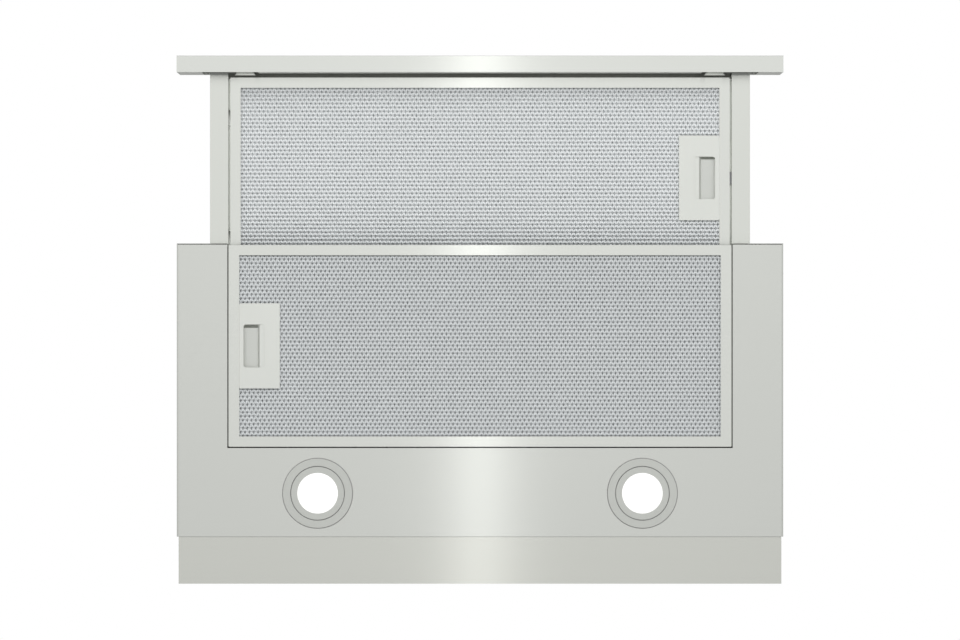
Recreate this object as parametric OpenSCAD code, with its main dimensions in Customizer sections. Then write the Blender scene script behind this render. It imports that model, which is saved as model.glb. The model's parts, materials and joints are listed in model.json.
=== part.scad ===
// Telescopic range hood, 60 cm class, with its filter drawer pulled out.
// X runs along the front, the front faces -Y and +Z is up.
// The origin lies in the plane where the base meets the cabinet's underside, at the middle of the base.

/* [Base] */
// Width of the base and of the front trim
hood_w = 598; // [590:1:640]
// Depth of the fixed base
base_d = 289; // [284:1:300]
// Height of the base and of the front trim
base_h = 40; // [39:1:44]
// Width of each arm of the base beside the filter opening
arm_w = 50; // [49.5:0.5:56]
// Stainless sheet of the base, the trim and the spacer
sheet = 1; // [0.8:0.1:1.2]
// Outside radius of the bends in the stainless sheet
bend_r = 2; // [1.5:0.1:2.5]
// Galvanised sheet of the top plate
plate_t = 1; // [0.8:0.1:1.2]
// Depth of the base's strip behind the filter opening, where the lamps sit
strip_d = 87.4; // [86:0.2:92]
// Depth of the bare spacer behind the base
spacer_d = 46.4; // [30:0.2:60]

/* [Lamps] */
// Distance between the two lamps
lamp_spacing = 320; // [300:1:340]
// Distance from the lamps' centres to the base's rear edge
lamp_from_rear = 42.8; // [40:0.2:46]
// Outside diameter of a lamp's bezel
bezel_d = 69.8; // [66:0.2:74]
// Diameter of the lamp's barrel, which passes through the panel
barrel_d = 59.4; // [57:0.2:61]
// Diameter of the frosted lens that shows
lens_d = 39.6; // [36:0.2:44]
// Height of a lamp above the panel's underside
lamp_h = 20; // [18:0.5:22]

/* [Drawer] */
// Travel of the filter drawer
travel = 168; // [150:1:174]
// Depth of the hollow front trim
trim_d = 16.2; // [15:0.2:20]
// Outside radius of the tight bends in the front trim's sheet
trim_bend = 0.3; // [0.3:0.1:2]
// Height of the drawer's underside above the base's underside
drawer_lift = 20; // [19:0.5:21]
// Width of a drawer rail
rail_w = 18.2; // [16:0.2:18.4]
// Gap between a drawer rail and the top plate
rail_top_gap = 2; // [1.5:0.5:3]
// Sheet of the rails and crossbars
rail_t = 1; // [0.8:0.1:1.2]
// Length of the ball slides
slide_len = 250; // [236:1:270]
// Width of a ball slide across its two members
slide_t = 11; // [10.6:0.1:11.4]
// Diameter of the slide's balls
ball_d = 3; // [2.8:0.1:3.2]
// Space between neighbouring balls, centre to centre
ball_pitch = 12; // [8:1:18]

/* [Filters] */
// Thickness of a filter cassette
filter_t = 9; // [8.6:0.1:10]
// Width of the cassette's border
filter_border = 10.3; // [9:0.1:12]
// Aluminium sheet of the cassette's border
frame_t = 0.6; // [0.5:0.1:0.8]
// Thickness of an expanded mesh sheet
mesh_t = 1; // [0.8:0.1:1.2]
// Width of a mesh diamond, strand to strand
mesh_pitch_x = 32; // [30:1:40]
// Distance between two rows of the mesh
mesh_pitch_y = 10; // [9.5:0.5:14]
// Width of a mesh strand
strand = 1.6; // [1.2:0.1:2.4]

/* [Latches] */
// Width of a latch plate, across the hood
latch_w = 40; // [38:0.5:44]
// Length of a latch plate, front to back
latch_len = 84; // [78:1:90]
// Width of the finger recess
recess_w = 20.4; // [20:0.2:22]
// Length of the finger recess
recess_len = 42; // [36:1:48]
// Distance from the cassette's border to the finger recess
recess_in = 4.2; // [3.8:0.1:5]
// Width of the finger pocket in the slider
pocket_w = 14; // [13:0.2:15]
// Travel of a latch slider
latch_travel = 4.5; // [4:0.1:4.6]
// Width of the bolt
bolt_w = 12; // [8:0.5:16]
// Wire of the latch spring
wire_d = 0.5; // [0.4:0.1:0.6]
// Turns of the latch spring
spring_turns = 9; // [7:1:11]

/* [Buttons] */
// Distance from the trim's right end to the middle of the button row
buttons_in = 109; // [100:1:149]
// Height of the button row's middle above the trim's underside
buttons_z = 14; // [12:0.5:15]
// Distance between two buttons, centre to centre
button_pitch = 18.5; // [16.5:0.5:20]
// Gap between two neighbouring buttons
button_gap = 3.5; // [3:0.5:5]
// Height of one push button
button_h = 8; // [7:0.5:9]
// Travel of a push button
button_travel = 1.5; // [1:0.1:1.8]

/* [Casing] */
// Distance from the hood's end to the casing's side
casing_side_in = 36; // [30:1:40]
// Distance from the base's front edge to the casing, and the same at the rear
casing_in = 18.5; // [17:0.5:20]
// Height of the casing
casing_h = 140; // [136:1:160]
// Galvanised sheet of the casing
casing_t = 0.8; // [0.7:0.1:1]
// Width of the casing's bottom flange, turned inward
flange_w = 13; // [12:0.5:16]
// Distance between the cabinet screws along the front
screw_span = 400; // [360:1:440]
// Diameter of the holes for the cabinet screws
screw_hole_d = 4.5; // [4:0.1:5.5]

/* [Blower] */
// Gap between the moulded blower housing and the casing's front wall
scroll_gap = 9.2; // [6:0.2:12]
// Gap between the wheel and the blower housing's cover
wheel_top_gap = 9.2; // [7.2:0.2:15]
// Number of blades of the wheel
blades = 36; // [24:2:40]
// Width of the ring of blades
blade_w = 13; // [11:0.5:15]
// Wall of the moulded blower housing
scroll_t = 2; // [1.8:0.1:2.2]
// Growth of the scroll's radius from the tongue to the outlet
scroll_growth = 22; // [16:1:24]
// Least gap between the wheel and the scroll
tongue_gap = 8; // [6:0.5:9]
// Height of the scroll's floor above the top plate
scroll_z = 60; // [56:1:62]
// Diameter of the motor
motor_d = 92; // [84:1:94]
// Diameter of the motor's shaft
shaft_d = 8; // [6:0.5:9]

/* [Duct collar] */
// Outside diameter of the duct collar
duct_d = 149; // [140:1:149]
// Height of the collar above the casing
duct_h = 35; // [30:1:45]
// Wall of the collar
duct_t = 1.5; // [1.2:0.1:2]
// Distance of the collar's axis from the middle of the hood
duct_x = 130; // [126:1:132]
// Diameter of the axle that carries the flaps
axle_d = 3; // [2.5:0.1:4]

/* [Wiring] */
// Diameter of the cable inlet
inlet_d = 8; // [6:0.5:10]
// Length of the cable inlet
gland_len = 16; // [14:0.5:20]

/* [Hidden] */
$fn = 64;

// Finishes
STAINLESS = [0.83, 0.84, 0.82];
ZINC = [0.70, 0.72, 0.74];
ALUMINIUM = [0.86, 0.87, 0.86];
MESH = [0.72, 0.74, 0.75];
STEEL = [0.60, 0.61, 0.63];
DARK = [0.20, 0.21, 0.22];
WHITE = [0.97, 0.97, 0.96];

// A cutter reaches this far past the face that it opens
eps = 1;
// Clearance of a screw in its hole, on the radius
hole_play = 0.15;
// Clearance of plates, slides and catches that pass each other
play = 0.4;

// Base
half_w = hood_w / 2;
base_y0 = -base_d / 2;
base_y1 = base_d / 2;
base_z = -base_h;
plate_z = -plate_t;
open_hw = half_w - arm_w;
open_y1 = base_y1 - strip_d;
plate_lip = 10;

// Filter cassettes: gaps round them and their places in the base and in the drawer
filter_side_gap = 1.5;
filter_end_gap = 1.1;
filter_front_in = 1.5;
filter_recess = 0.2;
filter_hw = open_hw - filter_side_gap;
rear_filter_y0 = base_y0 + filter_front_in;
filter_d = open_y1 - filter_end_gap - rear_filter_y0;
window_hw = filter_hw - filter_border;
window_hd = filter_d / 2 - filter_border;

// Drawer, pulled out by its full travel
close_gap = 0.8;
trim_gap = 3.9;
trim_y1 = base_y0 - close_gap - travel;
trim_y0 = trim_y1 - trim_d;
drawer_z = base_z + drawer_lift;
rail_in = 0.4;
rail_h = base_h - plate_t - drawer_lift - rail_top_gap;
rail_lip = 4;
rail_x0 = open_hw + rail_in;
rail_x1 = rail_x0 + rail_w;
rail_z1 = drawer_z + rail_h;
front_filter_y0 = trim_y1 + trim_gap;
flange_z1 = drawer_z - 0.6;

// Ball slides inside the rails: the outer member stays, the inner member goes with the drawer
slide_front_in = 4.5;
outer_y0 = base_y0 + slide_front_in;
inner_y0 = outer_y0 - travel;
rail_y1 = inner_y0 + slide_len;
slide_sheet = 1.2;
slide_h = rail_h - rail_t - play;
slide_z = rail_z1 - slide_h / 2;
ball_play = 0.15;
race_out = slide_h / 2 - slide_sheet;
race_in = race_out - ball_d - 2 * ball_play;
ball_z = (race_out + race_in) / 2;
ball_u = slide_t / 2;
cage_t = 0.8;
cage_end = 1;
cage_len = slide_len - travel - 2 * cage_end;
cage_web_u = slide_sheet + play;
inner_flange_u = cage_web_u + cage_t + play;
carrier_t = 1.2;
carrier_side_gap = 5.2;
carrier_x = rail_x0 + rail_t + slide_t;
flange_x1 = half_w - sheet - plate_t - carrier_side_gap;

// Crossbars of the drawer
bar_t = 1.2;
front_bar_z = rail_z1;
front_bar_leg = 9;
front_bar_step = 2;
front_bar_drop = 1.5;
rear_bar_gap = 1;
rear_bar_y0 = front_filter_y0 + filter_d + rear_bar_gap;
rear_bar_d = 14;
rear_bar_h = rail_h - 3;

// Front trim: bends, rear cheeks and hem
trim_bend_in = max(trim_bend - sheet * 0.9, 0.05);
cheek_gap = 7;
clip_in = 16.5;
clip_x = open_hw - clip_in;
clip_w = 16.5;
clip_leg_in = 1.4;
clip_flare = 2.2;
clip_gap = 1.9;
hem_gap = 5;
hem_h = 4;
hem_r = 1.2;
trim_screw_in = 24;
hem_hw = clip_x - clip_w / 2 - hem_gap;

// Latch, measured from the cassette's middle and underside, with the latch at +X
catch_tip_gap = 0.2;
cassette_r = 1.2;
catch_reach = filter_side_gap + rail_in + rail_t - catch_tip_gap;
bolt_h = 3;
bolt_z = (filter_t - bolt_h) / 2 + 0.5;
plate_drop = 0.3;
latch_x1 = window_hw;
latch_x0 = latch_x1 - latch_w;
recess_x1 = latch_x1 - recess_in;
recess_x0 = recess_x1 - recess_w;
recess_r = 2.4;
pocket_x0 = recess_x1 - pocket_w;
house_in = 2;
house_t = 1;
house_x0 = latch_x0 + house_in;
house_x1 = latch_x1 - 0.3;
house_hd = latch_len / 2 - house_in;
house_z1 = filter_t - frame_t;
slider_t = 1.1;
slider_z = frame_t + 0.3;
slider_top = house_z1 - house_t + 0.2 - play;
slider_hd = recess_len / 2 + 1;
lip_w = 1.8;
lip_h = 2.1;
slider_x0 = house_x0 + house_t + latch_travel + 1;
slider_x1 = recess_x1 + play + slider_t;
bolt_tip = filter_hw + catch_reach;
spring_seat = pocket_x0 - slider_t;
spring_r = (slider_top - slider_z - slider_t - wire_d) / 2 - play;
spring_z = (slider_top + slider_z + slider_t) / 2;

// Tongues on the side away from the latch
tongue_w = 15;
tongue_y = 60;
tongue_t = 1.2;
tongue_z = 7;

// Rear spacer
spacer_in = 2;
spacer_up = 0.6;
spacer_hw = half_w - spacer_in;
spacer_z = base_z + spacer_up;
spacer_screw_in = 59;
spacer_screw_x = (half_w - spacer_screw_in) / 3 * [-3, -1, 1, 3];
spacer_screw_up = 16;
spacer_screw_z = base_z + spacer_screw_up;
spacer_screw_out = 5;

// Lamps
lamp_x = lamp_spacing / 2;
lamp_y = base_y1 - lamp_from_rear;
lamp_wall = 1.5;
lens_flange = 4;
lens_play = 0.2;
barrel_drop = 4;
rim_w = 8.8;
rim_h = 1.2;
groove_w = 0.8;
groove_in = 0.4;
led_lift = 2.4;
led_play = 0.3;
led_room = 5.6;
fin_pitch = 5;
fin_gap = 2.4;
fin_h = 6;
lamp_clip_t = 0.8;
lamp_clip_w = 10;
lamp_clip_reach = 5.5;
lamp_clip_foot = 4;
lamp_clip_drop = 5;

// Buttons and their bezel
button_y = trim_y0;
buttons_x = half_w - buttons_in;
buttons_zc = base_z + buttons_z;
button_w = button_pitch - button_gap;
button_play = 0.3;
button_round = 1.2;
button_flange = 1.2;
bezel_side = 1;
bezel_margin = 2.5;
bezel_w = 4 * button_pitch + 2 * bezel_side;
bezel_h = button_h + 2 * bezel_margin;
bezel_rim = 2;
bezel_back = 2.5;
button_lip = 1;
switch_gap = button_travel + 0.6;
switch_side = 1.5;
switch_edge = 0.5;
switch_d = 6;

// Casing and screws
casing_hw = half_w - casing_side_in;
casing_hd = base_d / 2 - casing_in;
screw_out_y = 8;
screw_y = casing_hd + screw_out_y;
screw_r = 1.6;
screw_out = 2;
tip_in = 0.1;
head_r = 3.1;
head_top = 0.8 * head_r;
head_h = 1.8;
cross_l = 3.7;
cross_w = 0.7;
fix_in_x = 103;
fix_in_y = 56;
fix_x = casing_hw - fix_in_x;
fix_y = casing_hd - fix_in_y;

// Side springs that press on the cabinet: fixed at the foot, free at the top
leaf_t = 0.8;
leaf_w = 20;
leaf_bow = 8;
leaf_z0 = 24;
leaf_foot = 12;
leaf_rise = 38;
leaf_fall = 32;
leaf_curl = 4;

// Blower
blower_x = -95;
blower_y = 6;
scroll_r0 = casing_hd - casing_t - scroll_gap + blower_y - scroll_t - scroll_growth;
wheel_r = scroll_r0 - tongue_gap;
lid_t = 2;
lid_z = casing_h - casing_t - lid_t;
mount_t = 2;
mount_z = lid_z - mount_t;
bell_r = 8;
bell_play = 1;
wheel_z = scroll_z + bell_r - scroll_t;
wheel_h = lid_z - wheel_top_gap - wheel_z;
wheel_plate = 2;
blade_t = 1.2;
blade_r0 = wheel_r - blade_w;
inlet_r = blade_r0 - bell_play - scroll_t;
blade_in = 0.5;
blade_sweep = 16;
motor_r = motor_d / 2;
motor_gap = 4;
motor_round = 6;
band_w = 1.2;
band_gap = 10;
dish_r = motor_r + motor_gap + wheel_plate;
dish_rise = 22;
dish_z = wheel_z + dish_rise;
motor_z = dish_z + wheel_plate + motor_gap;
shaft_r = shaft_d / 2;
shaft_play = 0.05;
shaft_drop = 10;
hub_r = 11;
hub_drop = 8;
mount_rim = 4;
mount_reach = 20;
mount_r = motor_r + mount_reach;
mount_arm_w = 18;
mount_hole_r = 2.5;
cover_in = 6;

// Inlet grille
grille_t = 4;
grille_bar = 2.4;
grille_r = inlet_r + bell_r + 4;
grille_pitch = 22;
grille_hub = 14;

// Capacitor
cap_r = 15;
cap_h = 55;
cap_neck_r = 11;
cap_neck = 3;
cap_tab = 6;
cap_tab_t = 0.8;
cap_side = 18;
cap_front = 34;

// Scroll and outlet box
tongue_a = -25;
outlet_a = 270;
scroll_steps = 60;
tongue_yy = blower_y + scroll_r0 * sin(tongue_a);
outlet_y0 = blower_y - scroll_r0 - scroll_growth;
duct_bore_r = duct_d / 2 - duct_t;
outlet_room = 7;
outlet_x0 = duct_x - duct_bore_r - outlet_room;
outlet_x1 = duct_x + duct_bore_r + outlet_room;
outlet_y1 = duct_bore_r + outlet_room;

// Duct collar and flaps
collar_flange_r = duct_d / 2 + 15.5;
collar_flange_t = 1.5;
collar_screw_r = duct_d / 2 + 9.5;
ledge_w = 4;
ledge_rise = 6;
ledge_z = casing_h + ledge_rise;
ledge_t = 1.5;
flap_t = 1.2;
flap_lift = 0.3;
flap_z = ledge_z + ledge_t + flap_lift;
flap_in = 0.6;
flap_play = 1.5;
axle_r = axle_d / 2;
axle_play = 0.1;
axle_in = 0.3;
knuckle_wall = 1.3;
knuckle_up = 0.2;
knuckle_r = axle_r + knuckle_wall;
axle_z = flap_z + knuckle_r + knuckle_up;
flap_r = duct_bore_r - flap_play;
knuckle_end = 10;
knuckle_len = (flap_r - knuckle_end) / 2;
knuckle_gap = 1;

// Wiring
box_w = 38;
box_side_gap = 4;
box_x0 = casing_hw - casing_t - box_side_gap - box_w;
box_front_gap = 2;
box_rear_gap = 1.2;
box_y0 = outlet_y1 + scroll_t + box_front_gap;
box_y1 = casing_hd - casing_t - box_rear_gap;
box_y = (box_y0 + box_y1) / 2;
box_hd = (box_y1 - box_y0) / 2;
box_h = 29;
box_t = 1.6;
box_z1 = casing_h - casing_t;
lid_plate = 2;
pit_r = 3;
pit_in = 8;
pit_depth = 1;
gland_x = box_x0 + box_w / 2;
gland_wall = 3.8;
gland_r = inlet_d / 2 + gland_wall;
gland_in = 4;
gland_rim = 4;
gland_rim_t = 2;
gland_nut = 3;

// The stretch that reaches as far to both sides of its middle
function span(middle, half) = [middle - half, middle + half];

// A cuboid between two corners, given as [from, to] along each axis
module block(x, y, z) {
    translate([x[0], y[0], z[0]])
        cube([x[1] - x[0], y[1] - y[0], z[1] - z[0]]);
}

// The children and their mirror image in the middle of the hood
module both_sides() {
    children();
    mirror([1, 0, 0])
        children();
}

// A profile drawn as (Y, Z), run along X about the middle
module along_x(len) {
    rotate([90, 0, 90])
        linear_extrude(len, center = true)
            children();
}

// A profile drawn as (X, Z), run from y0 to y1
module along_y(y0, y1) {
    translate([0, y1, 0])
        rotate([90, 0, 0])
            linear_extrude(y1 - y0)
                children();
}

// A rectangle between two corners, drawn flat
module rect(x, y) {
    translate([x[0], y[0]])
        square([x[1] - x[0], y[1] - y[0]]);
}

// A rectangle with true round corners
module round_rect(x, y, r) {
    rect([x[0] + r, x[1] - r], y);
    rect(x, [y[0] + r, y[1] - r]);
    for (cx = [x[0] + r, x[1] - r])
        for (cy = [y[0] + r, y[1] - r])
            translate([cx, cy])
                circle(r);
}

// A pan screw with its head's underside at the origin and its thread along -Z
module screw(len) {
    translate([0, 0, -len])
        cylinder(h = len, r = screw_r);
    difference() {
        cylinder(h = head_h, r1 = head_r, r2 = head_top);
        for (a = [0, 90])
            rotate(a)
                block([-1, 1] * cross_l / 2, [-1, 1] * cross_w / 2, [head_h - cross_w, head_h + eps]);
    }
}

// Base panel: one tray with bent edges, open to the front, with up-turned flanges round the opening
module tray(inset) {
    intersection() {
        along_y(base_y0 + inset, base_y1 - inset)
            round_rect([-half_w + inset, half_w - inset], [base_z + inset, 10], bend_r - inset * 0.9);
        along_x(hood_w)
            round_rect([base_y0 + inset, base_y1 - inset], [base_z + inset, 10], bend_r - inset * 0.9);
    }
}

module catch_slots() {
    for (side = [-1, 1])
        translate([0, rear_filter_y0 + filter_d / 2, base_z + filter_recess])
            block([-open_hw - sheet - eps, 0], span(side * tongue_y, tongue_w / 2 + play),
                [tongue_z - play, tongue_z + tongue_t + play]);
    translate([0, rear_filter_y0 + filter_d / 2, base_z + filter_recess])
        block([0, open_hw + sheet + eps], span(0, bolt_w / 2 + play), [bolt_z - play, bolt_z + bolt_h + play]);
}

module base_panel() {
    color(STAINLESS) {
        difference() {
            tray(0);
            tray(sheet);
            block([-hood_w, hood_w], [base_y0 - eps, base_y1 + eps], [0, 20]);
            block([-half_w + sheet, half_w - sheet], [base_y0 - eps, base_y0 + 5],
                [flange_z1, eps]);
            block([-open_hw, open_hw], [base_y0 - eps, open_y1], [base_z - eps, eps]);
            for (side = [-1, 1])
                translate([side * lamp_x, lamp_y, base_z - eps])
                    cylinder(h = 5, r = barrel_d / 2 + play);
            for (x = spacer_screw_x)
                translate([x, base_y1 - 5, spacer_screw_z])
                    rotate([-90, 0, 0])
                        cylinder(h = 10, r = screw_r + hole_play);
        }
        difference() {
            union() {
                both_sides()
                    block([open_hw, open_hw + sheet], [base_y0 + bend_r, open_y1 + sheet],
                        [base_z + sheet / 2, flange_z1]);
                block([-open_hw - sheet, open_hw + sheet], [open_y1, open_y1 + sheet],
                    [base_z + sheet / 2, flange_z1]);
            }
            mirror([1, 0, 0])
                catch_slots();
        }
    }
}

// Top plate: closes the base, carries the casing and takes the cabinet screws
module top_plate() {
    hw = half_w - sheet;
    color(ZINC)
        difference() {
            union() {
                block([-hw, hw], [base_y0 + 2 * sheet, base_y1 - sheet], [plate_z, 0]);
                both_sides()
                    block([hw - plate_t, hw], [base_y0 + 2 * sheet, base_y1 - sheet], [-plate_lip, 0]);
                block([-hw, hw], [base_y1 - sheet - plate_t, base_y1 - sheet], [-plate_lip, 0]);
            }
            block([-1, 1] * (casing_hw - flange_w), [-1, 1] * (casing_hd - flange_w), [plate_z - eps, eps]);
            for (x = [-1, 1] * screw_span / 2)
                for (y = [-1, 1] * screw_y)
                    translate([x, y, plate_z - eps])
                        cylinder(h = plate_t + 2 * eps, r = screw_hole_d / 2);
            casing_screw_places()
                translate([0, 0, plate_z - eps])
                    cylinder(h = plate_t + 2 * eps, r = screw_r + hole_play);
        }
}

module slide_carrier() {
    color(ZINC)
        along_y(outer_y0, outer_y0 + slide_len) {
            rect([carrier_x, carrier_x + carrier_t], [slide_z - slide_h / 2, plate_z]);
            rect([carrier_x, flange_x1], [plate_z - carrier_t, plate_z]);
        }
}

module slide_carrier_left() {
    mirror([1, 0, 0])
        slide_carrier();
}

module slide_carrier_right() {
    slide_carrier();
}

// Ball slides, drawn as (distance from the carrier, height) and placed on the right side
module slide_place() {
    translate([carrier_x, 0, slide_z])
        mirror([1, 0, 0])
            children();
}

module outer_slide() {
    color(STEEL)
        slide_place()
            along_y(outer_y0, outer_y0 + slide_len)
                difference() {
                    rect([0, slide_t - slide_sheet - play], [-1, 1] * slide_h / 2);
                    rect([slide_sheet, slide_t], [-1, 1] * race_out);
                }
}

module inner_slide() {
    color(STEEL)
        slide_place()
            along_y(inner_y0, inner_y0 + slide_len)
                difference() {
                    rect([inner_flange_u, slide_t], [-1, 1] * race_in);
                    rect([0, slide_t - slide_sheet], [-1, 1] * (race_in - slide_sheet));
                }
}

module ball_cage() {
    cage_y0 = outer_y0 + cage_end;
    ear = ball_u + ball_d / 2 + 0.5;
    balls = floor((cage_len - ball_pitch) / ball_pitch);
    first = cage_y0 + (cage_len - (balls - 1) * ball_pitch) / 2;
    slide_place() {
        color(STEEL)
            difference() {
                along_y(cage_y0, cage_y0 + cage_len)
                    difference() {
                        rect([cage_web_u, ear], [-1, 1] * (ball_z + cage_t / 2));
                        rect([cage_web_u + cage_t, slide_t], [-1, 1] * (ball_z - cage_t / 2));
                    }
                for (i = [0:balls - 1])
                    translate([ball_u, first + i * ball_pitch, -slide_t])
                        cylinder(h = 2 * slide_t, r = ball_d / 2 + ball_play);
            }
        color(ALUMINIUM)
            for (i = [0:balls - 1])
                for (side = [-1, 1])
                    translate([ball_u, first + i * ball_pitch, side * ball_z])
                        sphere(d = ball_d);
    }
}

module outer_slide_left() {
    mirror([1, 0, 0])
        outer_slide();
}

module outer_slide_right() {
    outer_slide();
}

module inner_slide_left() {
    mirror([1, 0, 0])
        inner_slide();
}

module inner_slide_right() {
    inner_slide();
}

module ball_cage_left() {
    mirror([1, 0, 0])
        ball_cage();
}

module ball_cage_right() {
    ball_cage();
}

// Rear spacer: a bare channel behind the base, screwed to its rear skirt
module rear_spacer() {
    color(STAINLESS)
        difference() {
            along_x(2 * spacer_hw)
                round_rect([base_y1, base_y1 + spacer_d], [spacer_z, 10], bend_r);
            along_x(2 * (spacer_hw - sheet))
                round_rect([base_y1 + sheet, base_y1 + spacer_d - sheet], [spacer_z + sheet, 20],
                    bend_r - sheet * 0.9);
            block([-hood_w, hood_w], [base_y1 - eps, base_y1 + spacer_d + eps], [0, 30]);
            for (x = spacer_screw_x)
                translate([x, base_y1 - 5, spacer_screw_z])
                    rotate([-90, 0, 0])
                        cylinder(h = 10, r = screw_r + hole_play);
        }
}

module spacer_screws() {
    color(STEEL)
        for (x = spacer_screw_x)
            translate([x, base_y1 - sheet, spacer_screw_z])
                rotate([90, 0, 0])
                    screw(2 * sheet + spacer_screw_out);
}

// Casing: a galvanised box with an inward bottom flange, open below
module casing() {
    color(ZINC)
        difference() {
            block([-1, 1] * casing_hw, [-1, 1] * casing_hd, [0, casing_h]);
            block([-1, 1] * (casing_hw - casing_t), [-1, 1] * (casing_hd - casing_t),
                [casing_t, casing_h - casing_t]);
            block([-1, 1] * (casing_hw - flange_w), [-1, 1] * (casing_hd - flange_w), [-eps, 5]);
            translate([duct_x, 0, casing_h - 5])
                cylinder(h = 10, r = duct_bore_r);
            collar_screw_places()
                translate([0, 0, casing_h - 5])
                    cylinder(h = 10, r = screw_r + hole_play);
            translate([gland_x, box_y, casing_h - 5])
                cylinder(h = 10, r = gland_r + hole_play);
            casing_screw_places()
                translate([0, 0, -eps])
                    cylinder(h = 5, r = screw_r + hole_play);
        }
}

module casing_screw_places() {
    for (side = [-1, 1]) {
        for (y = [-fix_y, fix_y])
            translate([side * (casing_hw - flange_w / 2), y, 0])
                children();
        for (x = [-fix_x, fix_x])
            translate([x, side * (casing_hd - flange_w / 2), 0])
                children();
    }
}

module casing_screws() {
    color(STEEL)
        casing_screw_places()
            translate([0, 0, plate_z])
                mirror([0, 0, 1])
                    screw(plate_t + casing_t + screw_out);
}

module side_springs() {
    bend_z = leaf_z0 + leaf_foot;
    crown_z = bend_z + leaf_rise;
    free_z = crown_z + leaf_fall;
    color(STEEL)
        both_sides()
            for (y = [-fix_y, fix_y])
                along_y(y - leaf_w / 2, y + leaf_w / 2)
                    translate([casing_hw, 0])
                        polygon([
                            [0, leaf_z0], [leaf_t, leaf_z0], [leaf_t, bend_z], [leaf_bow, crown_z],
                            [leaf_t + play, free_z], [3 * leaf_t, free_z + leaf_curl],
                            [2 * leaf_t, free_z + leaf_curl + play], [play, free_z],
                            [leaf_bow - leaf_t, crown_z], [0, bend_z + play]
                        ]);
}

// Scroll: the radius grows evenly from the tongue to the outlet
function scroll_r(a) = scroll_r0 + scroll_growth * (a - tongue_a) / (outlet_a - tongue_a);

function scroll_start(grow) = asin((tongue_yy + grow - blower_y) / (scroll_r0 + grow));

function scroll_outline(grow) = concat(
    [
        for (i = [0:scroll_steps])
            let (a = scroll_start(grow) + (outlet_a - scroll_start(grow)) * i / scroll_steps)
                [blower_x, blower_y] + (scroll_r(a) + grow) * [cos(a), sin(a)]
    ],
    [
        [outlet_x1 + grow, outlet_y0 - grow],
        [outlet_x1 + grow, outlet_y1 + grow],
        [outlet_x0 - grow, outlet_y1 + grow],
        [outlet_x0 - grow, tongue_yy + grow]
    ]
);

module scroll_housing() {
    color(DARK) {
        difference() {
            translate([0, 0, scroll_z])
                linear_extrude(lid_z - scroll_z)
                    polygon(scroll_outline(scroll_t));
            translate([0, 0, scroll_z + scroll_t])
                linear_extrude(casing_h)
                    polygon(scroll_outline(0));
            translate([blower_x, blower_y, 0])
                cylinder(h = casing_h, r = inlet_r + bell_r);
        }
        translate([blower_x, blower_y, scroll_z])
            rotate_extrude()
                translate([inlet_r + bell_r, bell_r])
                    intersection() {
                        difference() {
                            circle(bell_r);
                            circle(bell_r - scroll_t);
                        }
                        rect([-bell_r, 0.01], [-bell_r, 0]);
                    }
    }
}

module scroll_cover() {
    color(DARK)
        difference() {
            translate([0, 0, lid_z])
                linear_extrude(lid_t)
                    polygon(scroll_outline(scroll_t));
            translate([duct_x, 0, 0])
                cylinder(h = casing_h, r = duct_bore_r);
            translate([blower_x, blower_y, 0])
                cylinder(h = casing_h, r = motor_r - cover_in);
            collar_screw_places()
                translate([0, 0, lid_z - eps])
                    cylinder(h = 5, r = screw_r + hole_play);
        }
}

module inlet_grille() {
    color(DARK)
        translate([blower_x, blower_y, scroll_z - grille_t])
            difference() {
                union() {
                    for (i = [0:3])
                        difference() {
                            cylinder(h = grille_t, r = grille_r - i * grille_pitch);
                            translate([0, 0, -eps])
                                cylinder(h = grille_t + 2 * eps, r = grille_r - i * grille_pitch - grille_bar);
                        }
                    for (a = [0:45:315])
                        rotate(a)
                            block([grille_hub + grille_bar, grille_r - grille_bar / 2],
                                [-1, 1] * grille_bar / 2, [grille_t / 4, grille_t]);
                }
                translate([0, 0, -eps])
                    cylinder(h = grille_t + 2 * eps, r = grille_hub);
            }
}

// Motor: a stator drum with rounded end bells, hung from its mount
module motor() {
    color(STEEL)
        translate([blower_x, blower_y, 0])
            rotate_extrude()
                difference() {
                    union() {
                        rect([0, motor_r - motor_round], [motor_z, mount_z]);
                        rect([0, motor_r], [motor_z + motor_round, mount_z - motor_round]);
                        for (z = [motor_z + motor_round, mount_z - motor_round])
                            translate([motor_r - motor_round, z])
                                circle(motor_round);
                    }
                    rect([-eps, shaft_r + shaft_play], [motor_z - eps, mount_z + eps]);
                    for (z = [-1, 1] * band_gap / 2)
                        rect([motor_r - band_w, motor_r + eps], span((motor_z + mount_z) / 2 + z, band_w / 2));
                }
}

module motor_mount() {
    color(ZINC)
        translate([blower_x, blower_y, mount_z])
            difference() {
                union() {
                    cylinder(h = mount_t, r = motor_r + mount_rim);
                    for (a = [30, 150, 270])
                        rotate(a) {
                            block([0, mount_r], [-1, 1] * mount_arm_w / 2, [0, mount_t]);
                            translate([mount_r, 0, 0])
                                cylinder(h = mount_t, r = mount_arm_w / 2);
                        }
                }
                translate([0, 0, -eps])
                    cylinder(h = mount_t + 2 * eps, r = shaft_r + mount_rim);
                for (a = [30, 150, 270])
                    rotate(a)
                        translate([mount_r, 0, -eps])
                            cylinder(h = mount_t + 2 * eps, r = mount_hole_r);
            }
}

module motor_shaft() {
    color(ALUMINIUM)
        translate([blower_x, blower_y, dish_z - shaft_drop])
            cylinder(h = mount_z - mount_t - dish_z + shaft_drop, r = shaft_r);
}

// Blade of the wheel: swept forward along its arc
function blade_at(t, side) =
    let (r = blade_r0 + blade_in + (wheel_r - blade_r0 - 2 * blade_in) * t)
    let (a = blade_sweep * (1 - cos(90 * t)) + side * blade_t / 2 / r * 180 / PI)
        r * [cos(a), sin(a)];

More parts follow.
